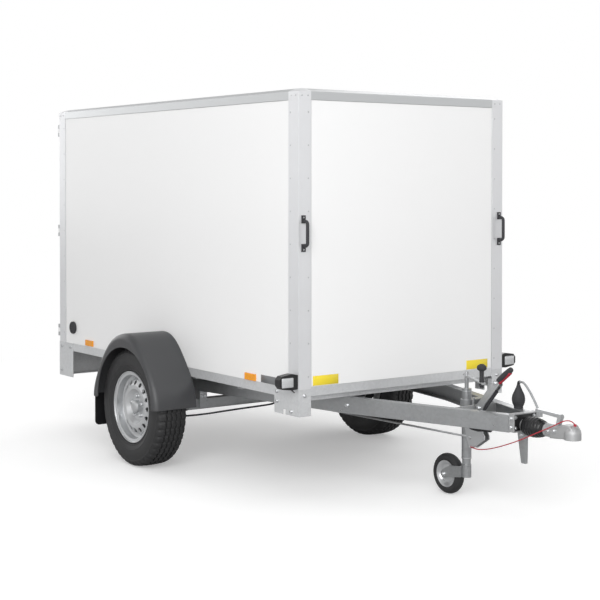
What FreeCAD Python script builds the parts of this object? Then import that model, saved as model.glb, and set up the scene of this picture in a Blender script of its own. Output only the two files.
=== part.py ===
# Enclosed single-axle cargo trailer: hollow panel box with two rear doors, galvanised
# frame, V-drawbar with overrun coupling, braked rubber-sprung axle and jockey wheel.
#
# Millimetres. +X points forward to the coupling, +Y to the trailer's left, +Z up. The origin
# is on the ground, under the middle of the trailer's overall length and width.
import FreeCAD
import Part
import math
import os

# ---------------------------------------------------------------- driving dimensions
BOX_LENGTH = 2570.0
BOX_WIDTH = 1340.0
NOSE_REACH = 1171.0        # coupling nose ahead of the box
TAIL_REACH = 48.0          # rear lamps behind the box
FRONT = (BOX_LENGTH + TAIL_REACH - NOSE_REACH) / 2
REAR = FRONT - BOX_LENGTH
HALF = BOX_WIDTH / 2

# heights of the box
RAIL_BOTTOM = 503.0
FLOOR_LEVEL = 551.0        # top of the frame, underside of the floor
PANEL_TOP = 1942.0
RIDGE = 1982.0             # where the roof profile's bevel starts
ROOF_TOP = 1997.0

# walls
PANEL_THICK = 24.0
PANEL_INSET = 3.0
POST_THICK = PANEL_THICK + PANEL_INSET
POST_SIDE = 84.0
POST_END = 74.0
REAR_POST_END = 50.0
INNER = HALF - POST_THICK  # inner face of the side walls
SHEET = 3.0                # gauge of the pressed steel frame
PLATE = 4.0                # gauge of the corner brackets
RAIL_FACE = HALF - PLATE
RAIL_DEPTH = 40.0
RAIL_INNER = RAIL_FACE - RAIL_DEPTH
FRONT_RAIL_TOP = 561.0

# roof
PROFILE_WIDTH = 60.0
BEVEL = 38.0
LEDGE = 14.0
ROOF_UNDERSIDE = 1970.0

# drawbar beams
BEAM_BOTTOM = 405.0
BEAM_HEIGHT = 80.0
BEAM_TOP = BEAM_BOTTOM + BEAM_HEIGHT
BEAM_DEPTH = 48.0
BEND = (FRONT - 60.0, 365.0)
HEAD = (FRONT + 815.0, 80.0)
TAIL = (FRONT - 1330.0, 600.0)

# overrun coupling
DRAW_AXIS = 434.0
DRAW_RADIUS = 25.0
SLEEVE_RADIUS = DRAW_RADIUS + 7
SLEEVE_REACH = 8.0            # sleeve ahead of the head box, inside the boot
HEAD_FRONT = FRONT + 849.0
BELLOWS_END = FRONT + 977.0
BALL = (FRONT + 1133.0, 0.0, 437.0)
BALL_RADIUS = 25.3
SOCKET_RADIUS = 38.0

# cords and the parked plug
PLUG_SEAT = (FRONT + 700.0, 98.0, BEAM_TOP + 10.0)
LEAD_HEADING = (0.931, -0.365, 0.0)    # level direction from the plug to the coupling
LEAD_RADIUS = 5.5
BOOT_RADIUS = 7.0
CABLE_RADIUS = 2.5

# axle and wheels
AXLE_X = FRONT - 1274.0
BEAM_X = FRONT - 1120.0
AXLE_Z = 332.0
AXLE_HALF_SECTION = 27.5
ARM_PLANE = 620.0
HUB_Z = 323.0
LEVER_PLATES = (13.0, 18.0)            # inner and outer face of the bell-crank's left plate
TYRE_RADIUS = 323.0
TYRE_HALF_WIDTH = 94.0
WHEEL_MID = 795.5
MOUNT_FACE = 30.0          # wheel's mounting face, outboard of its middle
STUB_RADIUS = 17.5
RUNNING_GAP = 0.06
RIM_LIP = 194.0
SPIGOT = 32.0

# mudguards
GUARD_INNER = 667.0
GUARD_OUTER = 925.0
GUARD_FOOT = 346.0
GUARD_SKIN = 4.0
GUARD_ROUND = 34.0
ARCH_RADIUS = 303.0
GUARD_PROFILE = (              # (ahead of the axle, height) from the rear foot over the top to the front foot
    (-368, GUARD_FOOT), (-360, 400), (-338, 455), (-300, 520), (-255, 584), (-203, 643), (-140, 690),
    (-73, 715), (0, 724), (52, 718), (104, 697), (161, 653), (206, 605), (247, 556), (283, 507),
    (310, 460), (328, 410), (338, GUARD_FOOT))

# jockey wheel
JOCKEY = (FRONT + 357.0, 86.0)
JOCKEY_TUBE = 24.0
JOCKEY_BORE = 21.0
JOCKEY_TRAIL = 129.0
JOCKEY_RADIUS = 100.0
JOCKEY_WIDTH = 50.0

# rear doors
DOOR_THICK = 25.0
DOOR_GAP = 5.0
DOOR_EDGE = HALF - REAR_POST_END - DOOR_GAP
DOOR_BOTTOM = FLOOR_LEVEL + DOOR_GAP
DOOR_TOP = PANEL_TOP - DOOR_GAP
HINGE = (REAR - 14.0, HALF - 8.0)
HINGE_HEIGHTS = (620.0, 1245.0, 1870.0)

UP = FreeCAD.Vector(0, 0, 1)


# ---------------------------------------------------------------- small tools
def vec(x, y, z):
    return FreeCAD.Vector(x, y, z)


def block(x0, x1, y0, y1, z0, z1):
    return Part.makeBox(x1 - x0, y1 - y0, z1 - z0, vec(x0, y0, z0))


def rod(start, end, radius):
    run = end - start
    return Part.makeCylinder(radius, run.Length, start, run)


def tube(start, end, radius, bore):
    return rod(start, end, radius).cut(rod(start, end, bore))


def prism(points, run):
    """Closed outline of straight edges, pushed along a vector."""
    wire = Part.makePolygon(points + [points[0]])
    return Part.Face(wire).extrude(run)


def upright(outline, y0, y1):
    """Outline of (x, z) points, pushed from y0 to y1."""
    return prism([vec(x, y0, z) for x, z in outline], vec(0, y1 - y0, 0))


def outline_wire(outline):
    """Wire through (a, r) points; an entry holding two points is an arc through the first."""
    edges = []
    last = outline[0]
    for entry in outline[1:] + [outline[0]]:
        if isinstance(entry[0], tuple):
            middle, end = entry
            edges.append(Part.Arc(vec(*last, 0), vec(*middle, 0), vec(*end, 0)).toShape())
        else:
            end = entry
            edges.append(Part.LineSegment(vec(*last, 0), vec(*end, 0)).toShape())
        last = end
    return Part.Wire(edges)


def turned(outline, origin, axis):
    """Solid of revolution: (along, radius) outline about an axis through origin."""
    face = Part.Face(outline_wire(outline))
    solid = face.revolve(vec(0, 0, 0), vec(1, 0, 0), 360)
    turn = FreeCAD.Rotation(vec(1, 0, 0), axis)
    solid.Placement = FreeCAD.Placement(origin, turn)
    return solid


def mirrored(shape):
    return shape.mirror(vec(0, 0, 0), vec(0, 1, 0))


def pair(shape):
    return [shape, mirrored(shape)]


def fused(first, *others):
    solid = first
    for other in others:
        solid = solid.fuse(other)
    return solid.removeSplitter()


def channel(start, run, toward, height, depth, gauge):
    """C-section: its web stands on the line from start along run, its lips point toward."""
    section = [(0, 0), (depth, 0), (depth, gauge), (gauge, gauge),
               (gauge, height - gauge), (depth, height - gauge), (depth, height), (0, height)]
    return prism([start + toward * u + UP * w for u, w in section], run)


def bent_tube(points, radius, name):
    """Round tube along straight runs joined by tangent arcs, each as large as its runs allow."""
    edges = []
    start = points[0]
    for before, corner, after in zip(points, points[1:], points[2:]):
        arriving = corner - before
        leaving = after - corner
        turn = arriving.getAngle(leaving)
        reach = 0.45 * min(arriving.Length, leaving.Length)
        bend = reach / math.tan(turn / 2)
        print(f"{name}: bend radius {bend:.0f}, turn {math.degrees(turn):.0f} degrees")
        entry = corner - arriving.normalize() * reach
        leave = corner + leaving.normalize() * reach
        chord_middle = (entry + leave) * 0.5
        inward = (chord_middle - corner).normalize()
        centre_distance = bend / math.cos(turn / 2)
        middle = corner + inward * (centre_distance - bend)
        edges.append(Part.LineSegment(start, entry).toShape())
        edges.append(Part.Arc(entry, middle, leave).toShape())
        start = leave
    edges.append(Part.LineSegment(start, points[-1]).toShape())
    path = Part.Wire(edges)
    section = Part.Wire([Part.makeCircle(radius, points[0], points[1] - points[0])])
    solid = path.makePipeShell([section], True, False, 2)
    straight = math.pi * radius ** 2 * path.Length
    print(f"{name}: length {path.Length:.0f}, volume ratio {solid.Volume / straight:.4f}")
    return solid


def save(node, solids):
    if isinstance(solids, list):
        shape = Part.makeCompound(solids)
    else:
        shape = solids
    for solid in shape.Solids:
        if not solid.isValid():
            print(f"{node}: invalid solid")
    print(f"{node}: {len(shape.Solids)} solids, {shape.Volume / 1e6:.3f} litres")
    shape.exportStep(f"parts/{node}.step")


# ---------------------------------------------------------------- frame under the box
def side_rails():
    start = vec(REAR + RAIL_DEPTH, RAIL_FACE, RAIL_BOTTOM)
    run = vec(BOX_LENGTH - RAIL_DEPTH - PLATE, 0, 0)
    height = FLOOR_LEVEL - RAIL_BOTTOM
    return pair(channel(start, run, vec(0, -1, 0), height, RAIL_DEPTH, SHEET))


def cross_members():
    """Front rail with the lip that carries the front panel, and the floor bearers behind it."""
    across = vec(0, 2 * RAIL_INNER, 0)
    back = vec(-1, 0, 0)
    rail_low = 515.0
    rail_depth = 36.0
    start = vec(FRONT - PLATE, -RAIL_INNER, rail_low)
    rail = channel(start, across, back, FLOOR_LEVEL - rail_low, rail_depth, SHEET)
    lip_half = HALF - POST_END
    lip = block(FRONT - PLATE - SHEET, FRONT - PLATE, -lip_half, lip_half,
                FLOOR_LEVEL - SHEET, FRONT_RAIL_TOP)
    members = [fused(rail, lip)]
    for ahead in (-50.0, -560.0, -1010.0, -1560.0, -2060.0):
        start = vec(FRONT + ahead, -RAIL_INNER, BEAM_TOP)
        members.append(channel(start, across, back, FLOOR_LEVEL - BEAM_TOP, RAIL_DEPTH, SHEET))
    return members


def rear_cross_member():
    low = 340.0
    start = vec(REAR, -RAIL_FACE, low)
    return channel(start, vec(0, 2 * RAIL_FACE, 0), vec(1, 0, 0), FLOOR_LEVEL - low, RAIL_DEPTH, SHEET)


def corner_brackets():
    """Plates that wrap the frame's corners; the front ones have a slot in their lower edge."""
    low = 420.0
    slot_x = FRONT - 120.0
    side = block(FRONT - 203.0, FRONT, RAIL_FACE, HALF, low, FLOOR_LEVEL)
    front = block(FRONT - PLATE, FRONT, HALF - POST_END, HALF, low, FLOOR_LEVEL)
    ear = block(FRONT - 30.0, FRONT - PLATE, HALF - POST_END, HALF - POST_END + PLATE, low, 500.0)
    slot = block(slot_x - 12, slot_x + 12, RAIL_FACE - 1, HALF + 1, low - 1, low + 25)
    front_bracket = fused(side, front, ear).cut(slot)
    rear_bracket = block(REAR, REAR + 184.0, RAIL_FACE, HALF, 340.0, FLOOR_LEVEL)
    return pair(front_bracket) + pair(rear_bracket)


def beam_run(start, end, section):
    """One straight run of the left beam, ends square to the trailer, built by a section maker."""
    run = vec(end[0] - start[0], end[1] - start[1], 0)
    return section(vec(start[0], start[1], BEAM_BOTTOM), run)


def beam_channel(start, run):
    return channel(start, run, vec(0, -1, 0), BEAM_HEIGHT, BEAM_DEPTH, PLATE)


def beam_filled(start, run):
    section = [(0, 0), (BEAM_DEPTH, 0), (BEAM_DEPTH, BEAM_HEIGHT), (0, BEAM_HEIGHT)]
    return prism([start + vec(0, -u, w) for u, w in section], run)


def left_beam(section):
    return fused(beam_run(TAIL, BEND, section), beam_run(BEND, HEAD, section))


# ---------------------------------------------------------------- overrun coupling
def along_x(outline, origin):
    return turned(outline, origin, vec(1, 0, 0))


def overrun_housing():
    """Open-fronted head box, the draw tube's sleeve and its rear hanger."""
    half = 78.0
    low = 408.0
    high = 492.0
    wall = 5.0
    back = HEAD[0]
    shell = block(back, HEAD_FRONT, -half, half, low, high)
    mouth = block(back + wall, HEAD_FRONT + 1, -half + wall, half - wall, low + wall, high - wall)
    sleeve_start = vec(FRONT + 500, 0, DRAW_AXIS)
    sleeve = rod(sleeve_start, vec(HEAD_FRONT + SLEEVE_REACH, 0, DRAW_AXIS), SLEEVE_RADIUS)
    hanger_x = FRONT + 510.0
    hanger = block(hanger_x, hanger_x + 8, -150, 150, BEAM_BOTTOM, BEAM_TOP)
    bore = rod(sleeve_start - vec(1, 0, 0), vec(HEAD_FRONT + 50, 0, DRAW_AXIS), DRAW_RADIUS)
    beams = left_beam(beam_filled)
    body = fused(shell.cut(mouth), sleeve, hanger).cut(bore)
    return body.cut(beams).cut(mirrored(beams))


def draw_tube():
    return rod(vec(FRONT + 505, 0, DRAW_AXIS), vec(FRONT + 1005, 0, DRAW_AXIS), DRAW_RADIUS)


def bellows():
    """Rubber boot, barrel shaped, clamped on the sleeve and narrow at the coupling."""
    length = BELLOWS_END - HEAD_FRONT
    bore = DRAW_RADIUS + 2
    outline = [(0, SLEEVE_RADIUS), (0, 38), ((0.40 * length, 47), (0.80 * length, 40)),
               (0.84 * length, 32), (length, 31), (length, bore), (SLEEVE_REACH, bore),
               (SLEEVE_REACH, SLEEVE_RADIUS)]
    return along_x(outline, vec(HEAD_FRONT, 0, DRAW_AXIS))


def coupling_head():
    """Cast head: collar on the draw tube, body, and the cup for the towing ball."""
    collar = rod(vec(BELLOWS_END, 0, DRAW_AXIS), vec(FRONT + 1034, 0, DRAW_AXIS), 30.0)
    side = [(1018, 404), (1140, 413), (1160, 424), (1160, 452), (1140, 474), (1092, 474), (1060, 462),
            (1018, 462)]
    body = upright([(FRONT + x, z) for x, z in side], -29, 29)
    body = body.makeFillet(7, [e for e in body.Edges if abs(e.tangentAt(e.FirstParameter).y) < 0.1])
    cup = Part.makeSphere(SOCKET_RADIUS, vec(*BALL))
    skirt = rod(vec(BALL[0], 0, 411), vec(*BALL), SOCKET_RADIUS)
    cup_foot = block(BALL[0] - 50, BALL[0] + 50, -50, 50, 380, 411)
    ball = Part.makeSphere(BALL_RADIUS, vec(*BALL))
    throat = rod(vec(BALL[0], 0, 380), vec(*BALL), BALL_RADIUS)
    tube_bore = rod(vec(BELLOWS_END - 1, 0, DRAW_AXIS), vec(FRONT + 1005, 0, DRAW_AXIS), DRAW_RADIUS)
    head = fused(collar, body, cup, skirt)
    return head.cut(cup_foot).cut(ball).cut(throat).cut(tube_bore)


def coupling_handle():
    """Lifting handle over the boot, with the lug that holds the end of the lead."""
    side = [(915, 508), (1050, 498), (1038, 462), (1056, 462), (1074, 504), (1066, 514), (915, 521)]
    bar = upright([(FRONT + x, z) for x, z in side], -10, 10)
    lug = block(FRONT + 917, FRONT + 936, -6, 16, 484, 509)
    return fused(bar, lug).cut(coupling_head())


# ---------------------------------------------------------------- handbrake and brake linkage
def handbrake_lever():
    """Two flat arms on a cross pin, standing on the sleeve."""
    arm = [(532, 460), (566, 460), (590, 497), (684, 600), (676, 616), (655, 622), (640, 606), (532, 488)]
    points = [(FRONT + x, z) for x, z in arm]
    left = upright(points, 10, 14)
    right = upright(points, -14, -10)
    foot = rod(vec(FRONT + 549, -14, 476), vec(FRONT + 549, 14, 476), 8)
    top = rod(vec(FRONT + 658, -14, 606), vec(FRONT + 658, 14, 606), 8)
    return fused(left, right, foot, top).cut(overrun_housing())


def handbrake_grip():
    start = vec(FRONT + 664, 0, 612)
    slope = vec(0.79, 0, 0.613)
    outline = [(0, 0), (0, 10), (6, 14), ((60, 16), (104, 13)), ((113, 10), (117, 4)), (117, 0)]
    return turned(outline, start, slope).cut(handbrake_lever())


def gas_spring():
    low = vec(FRONT + 572, 0, 472)
    high = vec(FRONT + 655, 0, 566)
    tip = vec(FRONT + 676, 0, 590)
    spring = fused(rod(low, high, 9), rod(high, tip, 4))
    return spring.cut(overrun_housing()).cut(handbrake_lever()).cut(handbrake_grip())


def overrun_lever():
    """Two hanging plates that turn the draw tube's push into pull on the brake rod."""
    plate = [(450, 424), (545, 424), (592, 345), (592, 330), (512, 278), (488, 278), (468, 330), (455, 380)]
    points = [(FRONT + x, z) for x, z in plate]
    inner, outer = LEVER_PLATES
    left = upright(points, inner, outer)
    right = upright(points, -outer, -inner)
    pins = [rod(vec(FRONT + x, -outer, z), vec(FRONT + x, outer, z), r)
            for x, z, r in ((494, 386, 10), (492, 327, 6))]
    cable_pin = rod(vec(FRONT + 498, -outer - 8, 286), vec(FRONT + 498, outer, 286), 5)
    return fused(left, right, cable_pin, *pins).cut(overrun_housing()).cut(draw_tube())


def brake_rod():
    """Rod from the lever back to the balance plate ahead of the axle."""
    clevis = block(FRONT + 460, FRONT + 500, -9, 9, 316, 338)
    back_x = FRONT - 985.0
    shaft = rod(vec(back_x, 0, 300), vec(FRONT + 464, 0, 326), 5)
    balance = block(back_x - 6, back_x, -60, 60, 288, 312)
    return fused(clevis, shaft, balance).cut(overrun_lever())


def brake_cable_left():
    """Sheath from the axle's front face, forward and outward to the wheel's back plate."""
    route = [vec(FRONT - 1095, 38, 319), vec(FRONT - 1050, 62, 306), vec(FRONT - 1028, 110, 300),
             vec(FRONT - 1022, 190, 298), vec(FRONT - 1026, 300, 295), vec(FRONT - 1034, 420, 290),
             vec(FRONT - 1048, 520, 283), vec(FRONT - 1082, 590, 276), vec(FRONT - 1136, 636, 268),
             vec(FRONT - 1196, 667, 263)]
    sheath = bent_tube(route, 5.0, "brake_cable").cut(axle_beam()).cut(swing_arm_left())
    return max(sheath.Solids, key=lambda solid: solid.Volume)


# ---------------------------------------------------------------- axle
def axle_beam():
    half = AXLE_HALF_SECTION
    beam = block(BEAM_X - half, BEAM_X + half, -ARM_PLANE, ARM_PLANE, AXLE_Z - half, AXLE_Z + half)
    hollow = block(BEAM_X - half + PLATE, BEAM_X + half - PLATE, -ARM_PLANE, ARM_PLANE,
                   AXLE_Z - half + PLATE, AXLE_Z + half - PLATE)
    return beam.cut(hollow)


def axle_brackets():
    """Saddles that bolt the axle under the drawbar beams."""
    slope = (TAIL[1] - BEND[1]) / (TAIL[0] - BEND[0])
    web = BEND[1] + slope * (BEAM_X - BEND[0])
    saddle = block(BEAM_X - 45, BEAM_X + 45, web - BEAM_DEPTH, web - 2, AXLE_Z - 20, BEAM_BOTTOM)
    return pair(saddle.cut(axle_beam()).cut(block(BEAM_X - 27.5, BEAM_X + 27.5, 0, ARM_PLANE, 300, 359.5)))


def swing_arm_left():
    """Trailing arm, brake back plate and stub axle in one piece."""
    inner = ARM_PLANE
    boss_end = 665.0
    root = vec(BEAM_X, inner, AXLE_Z)
    hub = vec(AXLE_X, inner, HUB_Z)
    depth = vec(0, boss_end - inner, 0)
    arm = upright([(BEAM_X, AXLE_Z + 34), (BEAM_X, AXLE_Z - 34), (AXLE_X, HUB_Z - 40),
                   (AXLE_X, HUB_Z + 40)], inner, boss_end)
    stub = rod(hub, vec(AXLE_X, 803, HUB_Z), STUB_RADIUS)
    plate = rod(vec(AXLE_X, boss_end - 1, HUB_Z), vec(AXLE_X, boss_end + 4, HUB_Z), 128)
    return fused(rod(root, root + depth, 34), rod(hub, hub + depth, 40), arm, stub, plate)


# ---------------------------------------------------------------- wheels
def wheel_part(outline):
    """Left-hand wheel piece from an (outboard of the middle, radius) outline."""
    return turned(outline, vec(AXLE_X, WHEEL_MID, HUB_Z), vec(0, 1, 0))


def hub_left():
    """Brake drum and hub, closed by its cap."""
    bore = STUB_RADIUS + RUNNING_GAP
    drum_open = 675.0 - WHEEL_MID
    web = 730.0 - WHEEL_MID
    neck = web + 9
    face = MOUNT_FACE
    outline = [(drum_open + 14, bore), (drum_open + 14, 45), (web, 45), (web, 110), (drum_open, 110),
               (drum_open, 122), (neck, 122), (neck, 55), (face - 10, 55), (face - 10, 72), (face, 72),
               (face, SPIGOT), (face + 24, SPIGOT), (face + 31, 26), (face + 31, 0), (10, 0), (10, bore)]
    return wheel_part(outline)


def rim_left():
    """Pressed steel wheel: well-based rim and dished disc with a ring of round vents."""
    rim = [(-82, 190), (-82, RIM_LIP), (-72, RIM_LIP), (-70, 178), (-36, 176), (-24, 158), (24, 158),
           (36, 176), (70, 178), (72, RIM_LIP), (82, RIM_LIP), (82, 190), (76, 188), (74, 174),
           (38, 172), (26, 154), (-26, 154), (-38, 172), (-74, 174), (-76, 188)]
    face = MOUNT_FACE
    disc = [(face, SPIGOT), (face, 76), (face + 22, 98), (face + 24, 116), (face + 10, 143), (18, 154.5),
            (26, 155), (face + 16, 146), (face + 30, 118), (face + 28, 96), (face + 5.5, 73),
            (face + 5.5, SPIGOT)]
    wheel = fused(wheel_part(rim), wheel_part(disc))
    vents = 16
    vent_circle = 130.5
    vent_radius = 11.8
    for i in range(vents):
        angle = 2 * math.pi * i / vents
        x = AXLE_X + vent_circle * math.cos(angle)
        z = HUB_Z + vent_circle * math.sin(angle)
        wheel = wheel.cut(rod(vec(x, WHEEL_MID + 20, z), vec(x, WHEEL_MID + 80, z), vent_radius))
    bolts = 5
    bolt_circle = 56.0
    for i in range(bolts):
        angle = 2 * math.pi * (i + 0.25) / bolts
        x = AXLE_X + bolt_circle * math.cos(angle)
        z = HUB_Z + bolt_circle * math.sin(angle)
        wheel = wheel.fuse(rod(vec(x, WHEEL_MID + face + 5, z), vec(x, WHEEL_MID + face + 17, z), 9.5))
    return wheel


def tyre_left():
    half = TYRE_HALF_WIDTH
    outer = [(54, 177.06), (70, 178), (72, RIM_LIP), ((half, 246), (86, 298)), ((80, 313), (64, 319.5)),
             ((0, TYRE_RADIUS), (-64, 319.5)), ((-80, 313), (-86, 298)), ((-half, 246), (-72, RIM_LIP)),
             (-70, 178), (-54, 177.06)]
    inner = [(-60, RIM_LIP), ((-82, 246), (-74, 292)), ((-68, 303), (-56, 307)), (56, 307),
             ((68, 303), (74, 292)), ((82, 246), (60, RIM_LIP))]
    return wheel_part(outer + inner)


# ---------------------------------------------------------------- mudguards
def guard_outline(skin):
    """Side outline of the guard, offset inwards by skin."""
    points = []
    for before, here, after in zip(GUARD_PROFILE, GUARD_PROFILE[1:], GUARD_PROFILE[2:]):
        run = vec(after[0] - before[0], 0, after[1] - before[1]).normalize()
        points.append(vec(AXLE_X + here[0] + run.z * skin, 0, here[1] - run.x * skin))
    first = GUARD_PROFILE[0]
    last = GUARD_PROFILE[-1]
    low = GUARD_FOOT - skin
    return [vec(AXLE_X + first[0] + skin, 0, low), *points, vec(AXLE_X + last[0] - skin, 0, low)]


def guard_solid(skin, y0, y1, edge):
    """Arch that follows the guard's outline, with its outer edge rounded."""
    points = guard_outline(skin)
    curve = Part.BSplineCurve()
    curve.interpolate(points)
    foot = Part.LineSegment(points[-1], points[0])
    face = Part.Face(Part.Wire([curve.toShape(), foot.toShape()]))
    face.translate(vec(0, y0, 0))
    solid = face.extrude(vec(0, y1 - y0, 0))
    rim = [e for e in solid.Edges
           if abs(e.CenterOfMass.y - y1) < 0.1 and e.CenterOfMass.z > GUARD_FOOT + 5]
    return solid.makeFillet(edge, rim)


def mudguard_left():
    """Moulded shell, open below and towards the box, with a wheel arch cut in its skirt."""
    shell = guard_solid(0, GUARD_INNER, GUARD_OUTER, GUARD_ROUND)
    hollow = guard_solid(GUARD_SKIN, GUARD_INNER - 1, GUARD_OUTER - GUARD_SKIN, GUARD_ROUND - GUARD_SKIN)
    centre = vec(AXLE_X, GUARD_OUTER - 60, GUARD_FOOT + 4)
    return shell.cut(hollow).cut(rod(centre, centre + vec(0, 61, 0), ARCH_RADIUS))


def mud_flap_left():
    """Flap that hangs from the guard's rear wall, with rounded lower corners."""
    x = AXLE_X + GUARD_PROFILE[0][0] + 2
    low = 176.0
    flap = block(x, x + 5, 722, 905, low, GUARD_FOOT + 10)
    corners = [e for e in flap.Edges
               if abs(e.tangentAt(e.FirstParameter).x) > 0.9 and e.CenterOfMass.z < low + 1]
    return flap.makeFillet(25, corners).cut(mudguard_left())


# ---------------------------------------------------------------- box
def corner_posts():
    """Angle posts: the walls sit between their legs."""
    front = fused(block(FRONT - POST_SIDE, FRONT, INNER, HALF, FLOOR_LEVEL, PANEL_TOP),
                  block(FRONT - POST_THICK, FRONT, HALF - POST_END, HALF, FLOOR_LEVEL, PANEL_TOP))
    face = REAR + 6
    rear = fused(block(face, REAR + POST_SIDE, INNER, HALF, FLOOR_LEVEL, PANEL_TOP),
                 block(face, face + POST_THICK, HALF - REAR_POST_END, HALF, FLOOR_LEVEL, PANEL_TOP))
    return pair(front) + pair(rear)


def roof_section():
    """Bevelled edge profile as (inward, height) points, with a ledge for the roof panel."""
    w = PROFILE_WIDTH
    return [(0, PANEL_TOP), (0, RIDGE), (BEVEL, ROOF_TOP), (w, ROOF_TOP), (w, ROOF_UNDERSIDE),
            (w + LEDGE, ROOF_UNDERSIDE), (w + LEDGE, ROOF_UNDERSIDE - 8), (POST_THICK, ROOF_UNDERSIDE - 8),
            (POST_THICK, PANEL_TOP)]


def roof_envelope():
    return [(0, PANEL_TOP), (0, RIDGE), (BEVEL, ROOF_TOP), (400, ROOF_TOP), (400, PANEL_TOP)]


def side_profile(section, x0, x1):
    return prism([vec(x0, HALF - u, z) for u, z in section], vec(x1 - x0, 0, 0))


def end_profile(section, face, inward, y0, y1):
    return prism([vec(face + inward * u, y0, z) for u, z in section], vec(0, y1 - y0, 0))


def roof_profiles():
    section = roof_section()
    sides = pair(side_profile(section, REAR + POST_SIDE, FRONT - POST_SIDE))
    span = HALF - POST_END
    front = end_profile(section, FRONT, -1, -span, span)
    rear = end_profile(section, REAR, 1, -span, span)
    return sides + [front, rear]


def corner_cap(face, inward):
    """Cast corner that joins the two roof profiles, bevelled on both faces."""
    section = roof_section()
    envelope = roof_envelope()
    x0 = min(face, face + inward * POST_SIDE)
    x1 = max(face, face + inward * POST_SIDE)
    y0 = HALF - POST_END
    legs = fused(side_profile(section, x0, x1), end_profile(section, face, inward, y0, HALF))
    bevels = side_profile(envelope, x0, x1).common(end_profile(envelope, face, inward, y0, HALF))
    return legs.common(bevels)


def corner_caps():
    return pair(corner_cap(FRONT, -1)) + pair(corner_cap(REAR, 1))


# ---------------------------------------------------------------- rear doors
def hinge_lugs_left():
    """Fixed knuckles and pins, on the rear post."""
    lugs = []
    for z in HINGE_HEIGHTS:
        lug = rod(vec(*HINGE, z - 36), vec(*HINGE, z + 36), 5)
        for low in (z - 36, z + 14):
            lug = lug.fuse(rod(vec(*HINGE, low), vec(*HINGE, low + 22), 9))
            lug = lug.fuse(block(HINGE[0], REAR + 6, HINGE[1] - 14, HINGE[1] + 6, low, low + 22))
        lugs.append(lug.removeSplitter())
    return lugs


def door_left():
    """Door leaf with its three hinge straps."""
    leaf = block(REAR, REAR + DOOR_THICK, DOOR_GAP / 2, DOOR_EDGE, DOOR_BOTTOM, DOOR_TOP)
    for z in HINGE_HEIGHTS:
        leaf = leaf.fuse(block(REAR - 8, REAR, 500, HINGE[1], z - 13, z + 13))
        leaf = leaf.fuse(rod(vec(*HINGE, z - 13), vec(*HINGE, z + 13), 9))
    for z in HINGE_HEIGHTS:
        leaf = leaf.cut(rod(vec(*HINGE, z - 20), vec(*HINGE, z + 20), 5 + RUNNING_GAP))
    return leaf.removeSplitter()


def door_lock_left():
    """Bar lock: upright bar in guides, with a folding handle."""
    x = REAR - 15
    y = 85.0
    bar = rod(vec(x, y, DOOR_BOTTOM + 8), vec(x, y, DOOR_TOP - 8), 10)
    for z in (600, 940, 1260, 1600, 1890):
        bar = bar.fuse(block(REAR - 26, REAR, y - 22, y + 22, z - 20, z + 20))
    bar = bar.fuse(block(REAR - 34, REAR - 22, y - 12, y + 190, 1092, 1118))
    return bar.fuse(block(REAR - 28, REAR, y + 150, y + 178, 1085, 1125)).removeSplitter()


# ---------------------------------------------------------------- lamps and fittings
def grab_handle_left():
    """Bow handle on the front post, between two screwed tabs."""
    y = HALF - 27.0
    out = 36.0
    bend = 16.0
    low = 1241.0
    high = 1358.0
    s = bend * (1 - math.sqrt(0.5))
    x = FRONT + out
    path = Part.Wire([
        Part.LineSegment(vec(FRONT, y, low), vec(x - bend, y, low)).toShape(),
        Part.Arc(vec(x - bend, y, low), vec(x - s, y, low + s), vec(x, y, low + bend)).toShape(),
        Part.LineSegment(vec(x, y, low + bend), vec(x, y, high - bend)).toShape(),
        Part.Arc(vec(x, y, high - bend), vec(x - s, y, high - s), vec(x - bend, y, high)).toShape(),
        Part.LineSegment(vec(x - bend, y, high), vec(FRONT, y, high)).toShape()])
    section = Part.Wire([Part.makeCircle(8, vec(FRONT, y, low), vec(1, 0, 0))])
    bow = path.makePipeShell([section], True, False)
    tabs = [block(FRONT, FRONT + 6, y - 11, y + 11, z0, z1)
            for z0, z1 in ((low - 29, low + 9), (high - 9, high + 29))]
    return fused(bow, *tabs)


def marker_lamp_left():
    """Rubber arm with a front lamp, standing out from the front post."""
    y = HALF
    outline = [(y, 555), (y, 623), (y + 34, 630), (y + 92, 622), (y + 106, 606), (y + 106, 576),
               (y + 92, 560), (y + 34, 552)]
    return prism([vec(FRONT - 46, u, z) for u, z in outline], vec(40, 0, 0))


def rear_lamp_left():
    lamp = block(REAR - TAIL_REACH, REAR, 436, 640, 384, 500)
    edges = [e for e in lamp.Edges if e.CenterOfMass.x < REAR - TAIL_REACH + 1]
    return lamp.makeFillet(12, edges)


def side_reflectors():
    reflectors = []
    for x, z in ((FRONT - 2165, 573), (FRONT - 414, 569)):
        reflectors += pair(block(x - 47, x + 47, HALF - PANEL_INSET, HALF + 5, z - 17, z + 17))
    return reflectors


def side_vents():
    x = FRONT - 2378.0
    return pair(rod(vec(x, HALF - PANEL_INSET, 650), vec(x, HALF + 7, 650), 37))


def plug_holder():
    seat = vec(*PLUG_SEAT)
    return rod(vec(seat.x, seat.y, BEAM_TOP), seat, 22)


def lead_point(ahead, up):
    """Point of the lead's route, measured from the plug's seat."""
    return vec(*PLUG_SEAT) + vec(*LEAD_HEADING) * ahead + UP * up


def plug():
    """Thirteen-pin plug, parked upright, whose boot bends over towards the coupling."""
    outline = [(0, 0), (0, 22), ((30, 31), (66, 22)), (90, 11), (100, 8), (100, 0)]
    body = turned(outline, vec(*PLUG_SEAT), UP)
    boot = bent_tube([lead_point(0, 84), lead_point(0, 112), lead_point(18, 115.2)], BOOT_RADIUS, "plug_boot")
    return fused(body, boot)


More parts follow.
